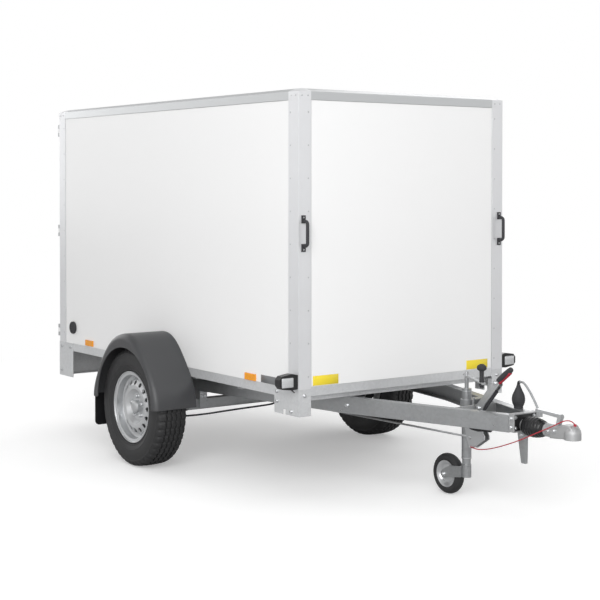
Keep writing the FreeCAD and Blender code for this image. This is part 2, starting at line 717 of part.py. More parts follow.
def plug_lead():
    """Free lead from the plug's boot to the lug on the coupling handle."""
    profile = ((18, 115.2), (47.5, 120.4), (81.9, 109.9), (122.3, 90.2), (164.7, 63.7), (203.8, 34.2),
               (240.8, 3))
    return bent_tube([lead_point(ahead, up) for ahead, up in profile], LEAD_RADIUS, "plug_lead")


def breakaway_cable():
    """Thin safety cable from the bell-crank past the boot to its clip on the coupling."""
    route = [(498, -22, 286), (540, -28, 281), (592, -35, 287), (645, -43, 299), (698, -50, 314),
             (750, -56, 331), (802, -60, 350), (854, -62, 370), (904, -62, 392), (953, -60, 415),
             (1002, -57, 438), (1050, -53, 460), (1090, -48, 481), (1113, -42, 494), (1133, -29, 500),
             (1144.5, -10, 492), (1143.5, 4.5, 477)]
    return bent_tube([vec(FRONT + x, y, z) for x, y, z in route], CABLE_RADIUS, "breakaway_cable")


def breakaway_hook():
    """Clip seated on top of the coupling's cup, which holds the cable's end."""
    x = FRONT + 1143.0
    return rod(vec(x, 4, 463), vec(x, 4, 481), 7).cut(coupling_head())


def prop_leg():
    """Short tapered parking leg under the overrun head, folded from plate, open to the rear."""
    def ring(x, z, half_x, half_y):
        return Part.makePolygon([vec(x - half_x, -half_y, z), vec(x + half_x, -half_y, z),
                                 vec(x + half_x, half_y, z), vec(x - half_x, half_y, z),
                                 vec(x - half_x, -half_y, z)])
    outside = Part.makeLoft([ring(FRONT + 826, 408, 20.5, 15), ring(FRONT + 837, 259, 13, 8)], True)
    inside = Part.makeLoft([ring(FRONT + 821, 409, 22, 12), ring(FRONT + 832, 258, 14.5, 5)], True)
    return outside.cut(inside).cut(overrun_housing())


# ---------------------------------------------------------------- jockey wheel
def jockey_axis(z):
    return vec(JOCKEY[0], JOCKEY[1], z)


def jockey_clamp():
    """Split clamp on the left beam, round the outer tube."""
    ring = tube(jockey_axis(BEAM_BOTTOM), jockey_axis(BEAM_TOP), JOCKEY_TUBE + 7, JOCKEY_TUBE)
    arm = block(JOCKEY[0] - 24, JOCKEY[0] + 24, JOCKEY[1] + 26, JOCKEY[1] + 130, BEAM_BOTTOM, BEAM_TOP)
    return fused(ring, arm).cut(left_beam(beam_filled)).cut(
        rod(jockey_axis(400), jockey_axis(500), JOCKEY_TUBE))


def jockey_outer_tube():
    body = tube(jockey_axis(193), jockey_axis(530), JOCKEY_TUBE, JOCKEY_BORE)
    lid = rod(jockey_axis(530), jockey_axis(538), JOCKEY_TUBE)
    neck = rod(jockey_axis(538), jockey_axis(600), 10)
    return fused(body, lid, neck)


def jockey_crank():
    """Crank arm on the spindle with its upright grip."""
    x, y = JOCKEY
    arm = prism([vec(x - 14, y - 11, 600), vec(x + 122, y - 11, 568), vec(x + 122, y - 11, 576),
                 vec(x - 14, y - 11, 610)], vec(0, 22, 0))
    grip = turned([(0, 0), (0, 11), (28, 9), (60, 10), (67, 17), ((84, 14), (90, 5)), (90, 0)],
                  vec(x + 106, y, 578), UP)
    tip = rod(jockey_axis(600), jockey_axis(621), 10)
    tail = turned([(0, 0), (0, 8), (24, 15), (24, 0)], vec(x + 106, y, 554), UP)
    return fused(arm, grip, tip, tail).cut(jockey_outer_tube())


def jockey_inner_tube():
    """Sliding tube with the thrust ring that sits on the fork."""
    body = tube(jockey_axis(106), jockey_axis(500), JOCKEY_BORE - RUNNING_GAP, 17)
    ring = tube(jockey_axis(160), jockey_axis(168), JOCKEY_TUBE, 20)
    return fused(body, ring)


def jockey_fork():
    """Collar that swivels on the inner tube, with two cheek plates down to the wheel's axle."""
    x, y = JOCKEY
    hub = x - JOCKEY_TRAIL
    collar = rod(jockey_axis(103), jockey_axis(158), JOCKEY_TUBE)
    cheek = [(x - 6, 104), (x - 6, 157), (hub + 46, 150), (hub - 6, 124), (hub - 20, 108),
             (hub - 20, 92), (hub - 6, 80), (hub + 46, 92)]
    left = upright(cheek, y + 31, y + 35)
    right = upright(cheek, y - 35, y - 31)
    bridge = block(x - 22, x - 6, y - 35, y + 35, 106, 155)
    axle = rod(vec(hub, y - 40, JOCKEY_RADIUS), vec(hub, y + 40, JOCKEY_RADIUS), 6)
    bore = rod(jockey_axis(104), jockey_axis(170), JOCKEY_BORE)
    return fused(collar, left, right, bridge, axle).cut(bore)


def jockey_rim():
    hub = vec(JOCKEY[0] - JOCKEY_TRAIL, JOCKEY[1], JOCKEY_RADIUS)
    bore = 6 + RUNNING_GAP
    outline = [(-24, bore), (-24, 16), (-8, 18), (-5, 44), (-17, 56), (-22, 66), (-16, 66), (-10, 58),
               (10, 58), (16, 66), (22, 66), (17, 56), (5, 44), (8, 18), (24, 16), (24, bore)]
    return turned(outline, hub, vec(0, 1, 0))


def jockey_tyre():
    hub = vec(JOCKEY[0] - JOCKEY_TRAIL, JOCKEY[1], JOCKEY_RADIUS)
    half = JOCKEY_WIDTH / 2
    outline = [(-10, 58), (-16, 66), (-22, 66), ((-half, 78), (-20, 92)), ((0, JOCKEY_RADIUS), (20, 92)),
               ((half, 78), (22, 66)), (16, 66), (10, 58)]
    return turned(outline, hub, vec(0, 1, 0))


# ---------------------------------------------------------------- write every node
def main():
    os.makedirs("parts", exist_ok=True)
    wall_x = (REAR + POST_SIDE, FRONT - POST_SIDE)
    wall_y = (INNER, HALF - PANEL_INSET)
    side_wall = block(*wall_x, *wall_y, FLOOR_LEVEL, PANEL_TOP)
    front_half = HALF - POST_END
    roof_half = HALF - PROFILE_WIDTH
    lead = plug_lead()
    safety_cable = breakaway_cable()

    save("side_rails", side_rails())
    save("cross_members", cross_members())
    save("rear_cross_member", rear_cross_member())
    save("corner_brackets", corner_brackets())
    save("drawbar_beams", pair(left_beam(beam_channel)))
    save("overrun_housing", overrun_housing())
    save("draw_tube", draw_tube())
    save("bellows", bellows())
    save("coupling_head", coupling_head())
    save("coupling_handle", coupling_handle().cut(lead))
    save("handbrake_lever", handbrake_lever())
    save("handbrake_grip", handbrake_grip())
    save("gas_spring", gas_spring())
    save("overrun_lever", overrun_lever().cut(safety_cable))
    save("brake_rod", brake_rod())
    save("brake_cables", pair(brake_cable_left()))
    save("axle_beam", axle_beam())
    save("axle_brackets", axle_brackets())
    save("swing_arms", pair(swing_arm_left()))
    save("mudguard_left", mudguard_left())
    save("mudguard_right", mirrored(mudguard_left()))
    save("mud_flaps", pair(mud_flap_left()))

    save("floor_panel", block(REAR + 33, FRONT - POST_THICK, -INNER, INNER, FLOOR_LEVEL, FLOOR_LEVEL + 18))
    save("front_panel", block(FRONT - POST_THICK, FRONT - PANEL_INSET, -front_half, front_half,
                              FRONT_RAIL_TOP, PANEL_TOP))
    save("side_panel_left", side_wall)
    save("side_panel_right", mirrored(side_wall))
    save("roof_panel", block(REAR + PROFILE_WIDTH, FRONT - PROFILE_WIDTH, -roof_half, roof_half,
                             ROOF_UNDERSIDE, ROOF_TOP - 3))
    save("corner_posts", corner_posts())
    save("roof_profiles", roof_profiles())
    save("corner_caps", corner_caps())

    save("door_hinge_lugs", hinge_lugs_left() + [mirrored(lug) for lug in hinge_lugs_left()])
    save("rear_door_left", door_left())
    save("rear_door_right", mirrored(door_left()))
    save("door_lock_left", door_lock_left())
    save("door_lock_right", mirrored(door_lock_left()))

    save("grab_handles", pair(grab_handle_left()))
    save("marker_lamps", pair(marker_lamp_left()))
    save("rear_lamps", pair(rear_lamp_left()))
    save("side_reflectors", side_reflectors())
    save("side_vents", side_vents())
    save("plug_holder", plug_holder())
    save("plug", plug())
    save("plug_lead", lead)
    save("breakaway_cable", safety_cable)
    save("breakaway_hook", breakaway_hook().cut(safety_cable))
    save("prop_leg", prop_leg())

    save("jockey_clamp", jockey_clamp())
    save("jockey_outer_tube", jockey_outer_tube())
    save("jockey_crank", jockey_crank())
    save("jockey_inner_tube", jockey_inner_tube())
    save("jockey_fork", jockey_fork())
    save("jockey_rim", jockey_rim())
    save("jockey_tyre", jockey_tyre())

    for node, shape in (("wheel_hub", hub_left()), ("wheel_rim", rim_left()), ("tyre", tyre_left())):
        save(f"{node}_left", shape)
        save(f"{node}_right", mirrored(shape))


main()
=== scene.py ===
"""Looks of an enclosed single-axle cargo trailer, built round its construction frame.

Lengths are metres in the trailer's own frame: +X forward to the coupling, +Y left, +Z up.
"""
import logging
import math
from collections.abc import Callable, Sequence
from dataclasses import dataclass, field
from enum import Enum

import bmesh
import bpy
from mathutils import Matrix, Vector


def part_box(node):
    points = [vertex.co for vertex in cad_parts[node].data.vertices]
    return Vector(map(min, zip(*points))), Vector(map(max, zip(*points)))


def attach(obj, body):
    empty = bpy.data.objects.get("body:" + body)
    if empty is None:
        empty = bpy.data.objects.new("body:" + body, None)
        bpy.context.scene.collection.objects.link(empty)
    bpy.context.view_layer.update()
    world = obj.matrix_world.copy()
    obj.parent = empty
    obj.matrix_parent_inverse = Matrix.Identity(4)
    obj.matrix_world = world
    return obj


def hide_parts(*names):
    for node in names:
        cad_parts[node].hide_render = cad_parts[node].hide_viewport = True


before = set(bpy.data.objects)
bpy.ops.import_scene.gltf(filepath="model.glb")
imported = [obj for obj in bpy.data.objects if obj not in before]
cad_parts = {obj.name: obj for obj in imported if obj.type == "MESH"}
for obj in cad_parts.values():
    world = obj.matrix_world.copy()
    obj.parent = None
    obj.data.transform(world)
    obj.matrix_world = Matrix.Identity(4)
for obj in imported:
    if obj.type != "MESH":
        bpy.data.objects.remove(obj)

LOG = logging.getLogger("trailer")
MM = 0.001
Triple = tuple[float, float, float]
Profile = Sequence[tuple[float, float]]
Shaper = Callable[[int, float, float], tuple[float, float]]
FORWARD = Vector((1, 0, 0))
BACKWARD = Vector((-1, 0, 0))
LEFTWARD = Vector((0, 1, 0))
UPWARD = Vector((0, 0, 1))
WHITE = (1, 1, 1, 1)
COAT_ROUGHNESS = 0.12
FLAT_DOT = 0.995
SHARP_DOT = 0.80
LEAST_ROUGHNESS = 0.03
LAMPS = (("key", (5.8, -5.2, 4.2), 5.0, 430), ("top", (0, 0, 6.5), 6.0, 80),
         ("left", (-3.0, 6.0, 4.0), 5.0, 110), ("rear", (-7.0, -1.0, 3.0), 4.0, 80))


class Body(Enum):
    """The rigid bodies that pieces ride on."""

    TRAILER = "trailer"
    DOOR_LEFT = "rear_door_left"
    DOOR_RIGHT = "rear_door_right"
    WHEEL_LEFT = "wheel_left"
    WHEEL_RIGHT = "wheel_right"
    JOCKEY_SWIVEL = "jockey_swivel"
    JOCKEY_WHEEL = "jockey_wheel"


class Side(Enum):
    """Left or right of the trailer, as the sign of Y."""

    LEFT = 1
    RIGHT = -1

    @property
    def word(self) -> str:
        """Side's name in lower case."""
        return self.name.lower()


class Grain(Enum):
    """Fine texture that breaks up a finish."""

    NOISE = "noise"
    SPANGLE = "spangle"
    WOOD = "wood"
    PRISM = "prism"


# ---------------------------------------------------------------- shader tools
def add_node(tree: bpy.types.NodeTree, kind: str, values: dict[str | int, object] | None = None,
             operation: str = "") -> bpy.types.Node:
    """Adds a shader node.

    Args:
        tree: Node tree it joins.
        kind: Node's type, without the prefix ShaderNode.
        values: Values of unlinked inputs, by name or number.
        operation: Operation of a math node.

    Returns:
        The node.
    """
    node = tree.nodes.new(f"ShaderNode{kind}")
    if operation:
        node.operation = operation
    for key, value in (values or {}).items():
        node.inputs[key].default_value = value
    return node


def add_color_mix(tree: bpy.types.NodeTree, first: Sequence[float] | None = None,
                  second: Sequence[float] | None = None) -> bpy.types.Node:
    """Adds a node that mixes two colours.

    Args:
        tree: Node tree it joins.
        first: Colour at factor 0, unless it is linked.
        second: Colour at factor 1, unless it is linked.

    Returns:
        The node.
    """
    node = add_node(tree, "Mix")
    node.data_type = "RGBA"
    for name, tone in (("A", first), ("B", second)):
        if tone is not None:
            node.inputs[name].default_value = tone
    return node


# ---------------------------------------------------------------- finishes
@dataclass(frozen=True)
class Finish:
    """A surface finish with its colour, gloss, relief and lighter edges: edge wear, and on the tyre a painted
    highlight.
    """

    name: str
    slot: str
    color: Triple
    roughness: float
    metallic: float = 0.0
    grain: Grain = Grain.NOISE
    grain_scale: float = 400.0
    relief: float = 0.0002
    relief_strength: float = 0.3
    patch_scale: float = 6.0
    variation: float = 0.06
    roughness_spread: float = 0.08
    edge: float = 0.0015
    # Lighter edge colour: edge wear, and a painted highlight along the tyre's edges.
    scuff_and_sheen: Triple = (0.5, 0.5, 0.5)
    scuff_and_sheen_strength: float = 0.25
    stretch: Triple = (1.0, 1.0, 1.0)
    coat: float = 0.0

    def tone(self, factor: float) -> tuple[float, float, float, float]:
        """Finish's colour times a factor, with alpha."""
        r, g, b = (min(1.0, c * factor) for c in self.color)
        return r, g, b, 1.0

    def texture(self, tree: bpy.types.NodeTree, vector: bpy.types.NodeSocket) -> bpy.types.NodeSocket:
        """Adds the fine texture.

        Args:
            tree: Node tree of the material.
            vector: Coordinates to sample.

        Returns:
            Socket that gives the texture's value from 0 to 1.
        """
        if self.grain in (Grain.SPANGLE, Grain.PRISM):
            cells = add_node(tree, "TexVoronoi", {"Scale": self.grain_scale})
            tree.links.new(vector, cells.inputs["Vector"])
            if self.grain is Grain.PRISM:
                return cells.outputs["Distance"]
            gray = add_node(tree, "RGBToBW")
            tree.links.new(cells.outputs["Color"], gray.inputs["Color"])
            return gray.outputs["Val"]
        if self.grain is Grain.WOOD:
            wave = add_node(tree, "TexWave", {"Scale": self.grain_scale, "Distortion": 9.0, "Detail": 3.0})
            tree.links.new(vector, wave.inputs["Vector"])
            return wave.outputs["Fac"]
        noise = add_node(tree, "TexNoise", {"Scale": self.grain_scale, "Detail": 5.0})
        tree.links.new(vector, noise.inputs["Vector"])
        return noise.outputs["Fac"]

    def material(self) -> bpy.types.Material:
        """Builds the node material once.

        Returns:
            The material, shared by every piece with this finish.
        """
        found = bpy.data.materials.get(self.name)
        if found:
            return found
        made = bpy.data.materials.new(self.name)
        made.use_nodes = True
        tree = made.node_tree
        link = tree.links.new
        shader = tree.nodes["Principled BSDF"]
        shader.inputs["Metallic"].default_value = self.metallic
        shader.inputs["Coat Weight"].default_value = self.coat
        shader.inputs["Coat Roughness"].default_value = COAT_ROUGHNESS

        coords = add_node(tree, "TexCoord")
        mapping = add_node(tree, "Mapping", {"Scale": self.stretch})
        link(coords.outputs["Object"], mapping.inputs["Vector"])
        fine = self.texture(tree, mapping.outputs["Vector"])
        patches = add_node(tree, "TexNoise", {"Scale": self.patch_scale, "Detail": 4.0})
        link(coords.outputs["Object"], patches.inputs["Vector"])

        half = add_node(tree, "Math", {1: 0.5}, "MULTIPLY")
        blend = add_node(tree, "Math", {1: 0.5}, "MULTIPLY_ADD")
        link(patches.outputs["Fac"], half.inputs[0])
        link(fine, blend.inputs[0])
        link(half.outputs[0], blend.inputs[2])
        colour = add_color_mix(tree, self.tone(1 - self.variation), self.tone(1 + self.variation))
        link(blend.outputs[0], colour.inputs["Factor"])

        # Edges take the lighter edge colour: edge wear on most finishes, a painted highlight along the tyre's
        # tread edges.
        bevel = add_node(tree, "Bevel", {"Radius": self.edge})
        bevel.samples = 4
        geometry = add_node(tree, "NewGeometry")
        dot = add_node(tree, "VectorMath", operation="DOT_PRODUCT")
        link(bevel.outputs["Normal"], dot.inputs[0])
        link(geometry.outputs["Normal"], dot.inputs[1])
        edge = add_node(tree, "MapRange", {"From Min": FLAT_DOT, "From Max": SHARP_DOT, "To Max": self.scuff_and_sheen_strength})
        link(dot.outputs["Value"], edge.inputs["Value"])
        patchy = add_node(tree, "Math", operation="MULTIPLY")
        link(edge.outputs["Result"], patchy.inputs[0])
        link(patches.outputs["Fac"], patchy.inputs[1])
        scuff_and_sheen = add_color_mix(tree, second=(*self.scuff_and_sheen, 1.0))
        link(colour.outputs["Result"], scuff_and_sheen.inputs["A"])
        link(patchy.outputs[0], scuff_and_sheen.inputs["Factor"])
        link(scuff_and_sheen.outputs["Result"], shader.inputs["Base Color"])

        spread = self.roughness_spread
        gloss = add_node(tree, "MapRange", {"To Min": max(LEAST_ROUGHNESS, self.roughness - spread),
                                            "To Max": min(1.0, self.roughness + spread)})
        link(blend.outputs[0], gloss.inputs["Value"])
        link(gloss.outputs["Result"], shader.inputs["Roughness"])

        bump = add_node(tree, "Bump", {"Strength": self.relief_strength, "Distance": self.relief})
        link(fine, bump.inputs["Height"])
        link(bevel.outputs["Normal"], bump.inputs["Normal"])
        link(bump.outputs["Normal"], shader.inputs["Normal"])
        return made


class Finishes:
    """Every finish on the trailer."""

    WALL = Finish("wall_laminate", "wall", (0.86, 0.86, 0.86), 0.34, grain_scale=900, relief=0.00006,
                  variation=0.012, patch_scale=1.5, scuff_and_sheen=(0.9, 0.9, 0.9), coat=0.15)
    POST = Finish("anodised_post", "aluminium", (0.74, 0.745, 0.76), 0.36, 0.40, Grain.NOISE, 60,
                  relief=0.00004, variation=0.05, stretch=(12, 12, 0.4), scuff_and_sheen=(0.8, 0.8, 0.8))
    ROOF_TRIM = Finish("roof_trim", "roof_trim", (0.30, 0.303, 0.308), 0.42, 0.4, Grain.NOISE, 50,
                       relief=0.00005, variation=0.08, stretch=(0.5, 0.5, 12), scuff_and_sheen=(0.31, 0.313, 0.318))
    GALVANISED = Finish("galvanised_steel", "galvanised", (0.38, 0.388, 0.396), 0.34, 0.8, Grain.SPANGLE, 90,
                        relief=0.0001, relief_strength=0.15, variation=0.13, patch_scale=9,
                        roughness_spread=0.12, scuff_and_sheen=(0.62, 0.63, 0.64))
    # A lighter copy of the galvanised finish: painted light on the box frame and its brackets.
    GALVANISED_LIT_COPY = Finish("galvanised_painted_light", "galvanised", (0.66, 0.67, 0.68), 0.36, 0.45, Grain.SPANGLE, 90,
                        relief=0.0001, relief_strength=0.15, variation=0.10, patch_scale=9,
                        scuff_and_sheen=(0.72, 0.73, 0.74))
    ZINC = Finish("zinc_plate", "cast_zinc", (0.58, 0.59, 0.60), 0.32, 0.85, Grain.NOISE, 220,
                  relief=0.00012, variation=0.1, scuff_and_sheen=(0.8, 0.8, 0.8))
    CAST = Finish("cast_iron_zinc", "cast_zinc", (0.46, 0.465, 0.47), 0.5, 0.7, Grain.NOISE, 300,
                  relief=0.0005, relief_strength=0.4, variation=0.14, edge=0.003, scuff_and_sheen=(0.7, 0.7, 0.7))
    # Near-black hub drum; it also darkens what shows through the rim's holes.
    DRUM = Finish("near_black_drum", "cast_zinc", (0.03, 0.03, 0.032), 0.5, 0.3, Grain.NOISE, 300,
                  relief=0.0001, variation=0.15, scuff_and_sheen=(0.12, 0.12, 0.12))
    SILVER = Finish("silver_lacquer", "wheel_silver", (0.60, 0.61, 0.62), 0.30, 0.70, Grain.NOISE, 500,
                    relief=0.00006, variation=0.06, edge=0.002, coat=0.3, scuff_and_sheen=(0.75, 0.75, 0.75))
    # The tyre's lighter edges, at strength 0.7, are a painted highlight along the tread.
    TYRE = Finish("tyre_rubber", "tyre", (0.021, 0.021, 0.022), 0.58, 0.0, Grain.NOISE, 350,
                  relief=0.0004, relief_strength=0.35, variation=0.3, patch_scale=14, scuff_and_sheen=(0.11, 0.11, 0.11),
                  scuff_and_sheen_strength=0.7)
    RUBBER = Finish("soft_rubber", "black_rubber", (0.010, 0.010, 0.011), 0.36, 0.0, Grain.NOISE, 500,
                    relief=0.0002, variation=0.25, scuff_and_sheen=(0.07, 0.07, 0.07))
    GUARD = Finish("moulded_guard", "grey_plastic", (0.052, 0.053, 0.056), 0.42, 0.0, Grain.NOISE, 1100,
                   relief=0.0004, relief_strength=0.5, variation=0.12, patch_scale=5, edge=0.004,
                   scuff_and_sheen=(0.12, 0.12, 0.125))
    BLACK = Finish("black_plastic", "black_plastic", (0.010, 0.010, 0.0105), 0.34, 0.0, Grain.NOISE, 900,
                   relief=0.0002, variation=0.2, scuff_and_sheen=(0.09, 0.09, 0.09))
    LEAD = Finish("lead_sheath", "lead_grey", (0.33, 0.34, 0.35), 0.42, 0.0, Grain.NOISE, 800,
                  relief=0.0001, variation=0.08, scuff_and_sheen=(0.5, 0.5, 0.5))
    RED = Finish("red_sheath", "red_cable", (0.42, 0.012, 0.03), 0.35, 0.0, Grain.NOISE, 900,
                 relief=0.0001, variation=0.12, scuff_and_sheen=(0.6, 0.1, 0.1), coat=0.2)
    AMBER = Finish("amber_prism", "amber", (0.84, 0.32, 0.004), 0.25, 0.0, Grain.PRISM, 260,
                   relief=0.0006, relief_strength=0.6, variation=0.12, scuff_and_sheen=(1.0, 0.4, 0.02), coat=0.3)
    RED_LENS = Finish("red_lens", "lamp", (0.40, 0.008, 0.008), 0.16, 0.0, Grain.PRISM, 220,
                      relief=0.0005, relief_strength=0.5, variation=0.2, scuff_and_sheen=(0.6, 0.1, 0.1), coat=0.8)
    CLEAR_LENS = Finish("clear_lens", "lamp", (0.52, 0.53, 0.54), 0.14, 0.1, Grain.PRISM, 200,
                        relief=0.0006, relief_strength=0.5, variation=0.2, scuff_and_sheen=(0.8, 0.8, 0.8), coat=0.8)
    FLOOR = Finish("phenolic_ply", "floor", (0.075, 0.05, 0.035), 0.45, 0.0, Grain.WOOD, 5,
                   relief=0.0003, variation=0.3, stretch=(0.3, 4, 4), scuff_and_sheen=(0.3, 0.22, 0.14), coat=0.2)
    YELLOW_VINYL = Finish("yellow_vinyl", "wall", (0.84, 0.66, 0.035), 0.35, 0.0, Grain.NOISE, 700,
                          relief=0.00005, variation=0.04, scuff_and_sheen=(0.9, 0.8, 0.4))
    GREY_VINYL = Finish("grey_vinyl", "wall", (0.17, 0.175, 0.18), 0.35, 0.0, Grain.NOISE, 700,
                        relief=0.00005, variation=0.04, scuff_and_sheen=(0.6, 0.6, 0.6))
    # Mid grey of the panel lips: painted shade along the seams of walls, posts and roof profiles.
    TRIM = Finish("panel_trim_seam_shade", "aluminium", (0.52, 0.525, 0.53), 0.4, 0.5, Grain.NOISE, 200,
                  relief=0.00005, variation=0.06, scuff_and_sheen=(0.7, 0.7, 0.7))
    PLATE = Finish("plate_blank", "wall", (0.78, 0.78, 0.76), 0.28, 0.0, Grain.NOISE, 700,
                   relief=0.00005, variation=0.03, scuff_and_sheen=(0.6, 0.6, 0.6))


NODE_FINISH: dict[Finish, tuple[str, ...]] = {
    # Box frame and brackets take the lighter galvanised copy, which is painted light.
    Finishes.GALVANISED_LIT_COPY: ("side_rails", "cross_members", "rear_cross_member", "corner_brackets"),
    Finishes.GALVANISED: ("drawbar_beams", "axle_beam", "axle_brackets", "swing_arms", "prop_leg",
                          "jockey_clamp", "jockey_outer_tube", "jockey_inner_tube", "jockey_fork"),
    Finishes.CAST: ("overrun_housing", "coupling_head"),
    Finishes.DRUM: ("wheel_hub_left", "wheel_hub_right"),
    Finishes.ZINC: ("draw_tube", "coupling_handle", "handbrake_lever", "overrun_lever", "brake_rod",
                    "door_hinge_lugs", "door_lock_left", "door_lock_right", "jockey_crank"),
    Finishes.WALL: ("front_panel", "side_panel_left", "side_panel_right", "roof_panel",
                    "rear_door_left", "rear_door_right"),
    Finishes.POST: ("corner_posts", "corner_caps"),
    Finishes.ROOF_TRIM: ("roof_profiles",),
    Finishes.FLOOR: ("floor_panel",),
    Finishes.GUARD: ("mudguard_left", "mudguard_right"),
    Finishes.RUBBER: ("mud_flaps", "marker_lamps"),
    Finishes.BLACK: ("handbrake_grip", "gas_spring", "brake_cables", "grab_handles", "side_vents",
                     "plug_holder", "plug", "rear_lamps"),
    Finishes.RED: ("breakaway_hook",),
    Finishes.AMBER: ("side_reflectors",),
    Finishes.SILVER: ("wheel_rim_left", "wheel_rim_right", "jockey_rim"),
}


# ---------------------------------------------------------------- mesh tools
def publish(name: str, mesh: bmesh.types.BMesh, body: Body, finish: Finish,
            sharp: float = 35.0) -> bpy.types.Object:
    """Turns a built mesh into a piece that rides on a body.

    Args:
        name: Piece's name.
        mesh: Built mesh, in the trailer's frame; it is freed.
        body: Body the piece moves with.
        finish: Piece's finish.
        sharp: Angle in degrees above which an edge stays crisp.

    Returns:
        The new object.
    """
    bmesh.ops.recalc_face_normals(mesh, faces=mesh.faces)
    data = bpy.data.meshes.new(name)
    mesh.to_mesh(data)
    mesh.free()
    data.materials.append(finish.material())
    for polygon in data.polygons:
        polygon.use_smooth = True
    data.set_sharp_from_angle(angle=math.radians(sharp))
    piece = bpy.data.objects.new(name, data)
    bpy.context.scene.collection.objects.link(piece)
    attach(piece, body.value)
    LOG.info("piece %s: %d faces", name, len(data.polygons))
    return piece


def add_block(mesh: bmesh.types.BMesh, first: Vector, second: Vector, bevel: float = 0.001) -> None:
    """Adds a block with rounded edges.

    Args:
        mesh: Mesh to add to.
        first: One corner.
        second: The opposite corner.
        bevel: Rounding of its edges.
    """
    size = Vector([abs(b - a) for a, b in zip(first, second)])
    middle = (second + first) / 2
    matrix = Matrix.Translation(middle) @ Matrix.Diagonal((*size, 1.0))
    made = bmesh.ops.create_cube(mesh, size=1.0, matrix=matrix)
    edges = list({edge for vert in made["verts"] for edge in vert.link_edges})
    bmesh.ops.bevel(mesh, geom=edges, offset=min(bevel, min(size) * 0.45), segments=2, affect="EDGES",
                    profile=0.5)


def add_lathe(mesh: bmesh.types.BMesh, outline: Profile, origin: Vector, axis: Vector,
              segments: int = 48, closed: bool = True, shape: Shaper | None = None) -> None:
    """Adds a turned solid.

    Args:
        mesh: Mesh to add to.
        outline: (along, radius) points.
        origin: Point on the axis where along is 0.
        axis: Direction of the axis.
        segments: Steps round the axis.
        closed: Whether the outline's last point joins its first.
        shape: Optional change of (step, along, radius) into new (along, radius).
    """
    turn = axis.to_track_quat("Z", "Y").to_matrix()
    rings = []
    for step in range(segments):
        angle = 2 * math.pi * step / segments
        ring = []
        for along, radius in outline:
            if shape:
                along, radius = shape(step, along, radius)
            point = Vector((radius * math.cos(angle), radius * math.sin(angle), along))
            ring.append(mesh.verts.new(origin + turn @ point))
        rings.append(ring)
    count = len(outline)
    last = count if closed else count - 1
    for step, ring in enumerate(rings):
        following = rings[(step + 1) % segments]
        for i in range(last):
            j = (i + 1) % count
            mesh.faces.new((ring[i], following[i], following[j], ring[j]))
    if not closed:
        mesh.faces.new([ring[0] for ring in rings])
        mesh.faces.new([ring[-1] for ring in reversed(rings)])


def add_bolt(mesh: bmesh.types.BMesh, foot: Vector, outward: Vector, across: float = 0.017) -> None:
    """Adds a washer and a domed hexagon head.

    Args:
        mesh: Mesh to add to.
        foot: Centre of the washer's underside.
        outward: Direction the head faces.
        across: Hexagon's width across its corners.
    """
    axis = outward.normalized()
    washer = across * 0.62
    thin = across * 0.10
    add_lathe(mesh, [(0, washer), (thin * 0.7, washer), (thin, washer * 0.94)], foot, axis, 24, False)
    radius = across * 0.5
    tall = across * 0.42
    add_lathe(mesh, [(thin, radius), (thin + tall * 0.8, radius), (thin + tall, radius * 0.84)],
              foot, axis, 6, False)


def add_bolts(mesh: bmesh.types.BMesh, feet: Sequence[Vector], outward: Vector,
              across: float = 0.017) -> None:
    """Adds several like bolts.

    Args:
        mesh: Mesh to add to.
        feet: Where each bolt stands.
        outward: Direction the heads face.
        across: Hexagon's width across its corners.
    """
    for foot in feet:
        add_bolt(mesh, foot, outward, across)


def add_rod(mesh: bmesh.types.BMesh, start: Vector, end: Vector, radius: float, segments: int = 20) -> None:
    """Adds a round rod with softened ends.

    Args:
        mesh: Mesh to add to.
        start: Centre of one end.
        end: Centre of the other end.
        radius: Rod's radius.
        segments: Steps round it.
    """
    run = end - start
    soft = min(radius * 0.2, run.length * 0.2)
    outline = [(0, radius - soft), (soft, radius), (run.length - soft, radius), (run.length, radius - soft)]
    add_lathe(mesh, outline, start, run.normalized(), segments, False)


def add_plate(mesh: bmesh.types.BMesh, outline: Sequence[Vector], y0: float, y1: float,
              bevel: float = 0.0012) -> None:
    """Adds a flat plate that stands along the trailer.

    Args:
        mesh: Mesh to add to.
        outline: Corners seen from the side.
        y0: Its face to the right.
        y1: Its face to the left.
        bevel: Rounding of its edges.
    """
    near = [mesh.verts.new((point.x, y0, point.z)) for point in outline]
    far = [mesh.verts.new((point.x, y1, point.z)) for point in outline]
    faces = [mesh.faces.new(near), mesh.faces.new(reversed(far))]
    for i in range(len(near)):
        j = (i + 1) % len(near)
        faces.append(mesh.faces.new((near[j], near[i], far[i], far[j])))
    edges = list({edge for face in faces for edge in face.edges})
    bmesh.ops.bevel(mesh, geom=edges, offset=bevel, segments=2, affect="EDGES", profile=0.5)


# ---------------------------------------------------------------- places
@dataclass
class Places:
    """Planes and centres read from the construction frame."""

    front: float = field(init=False)
    rear: float = field(init=False)
    half: float = field(init=False)
    panel_face: float = field(init=False)
    rail_bottom: float = field(init=False)
    floor_level: float = field(init=False)
    panel_top: float = field(init=False)
    wheel: Vector = field(init=False)
    jockey: Vector = field(init=False)
    jockey_wheel: Vector = field(init=False)
    plug_seat: Vector = field(init=False)

    def __post_init__(self) -> None:
        """Reads the boxes of the nodes that set each place."""
        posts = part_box("corner_posts")
        self.front = posts[1].x
        self.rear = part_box("rear_cross_member")[0].x
        self.half = posts[1].y
        self.panel_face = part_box("side_panel_left")[1].y
        self.rail_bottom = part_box("side_rails")[0].z
        self.floor_level = posts[0].z
        self.panel_top = posts[1].z
        self.wheel = self.centre("tyre_left")
        self.jockey = self.centre("jockey_outer_tube")
        self.jockey_wheel = self.centre("jockey_tyre")
        self.plug_seat = self.ahead(700, 98, 495)

    @staticmethod
    def centre(node: str) -> Vector:
        """Centre of a node's box."""
        low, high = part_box(node)
        return (low + high) / 2

    def ahead(self, x: float, y: float, z: float) -> Vector:
        """Point measured in millimetres from the box's front, the middle line and the ground."""
        return Vector((self.front + x * MM, y * MM, z * MM))


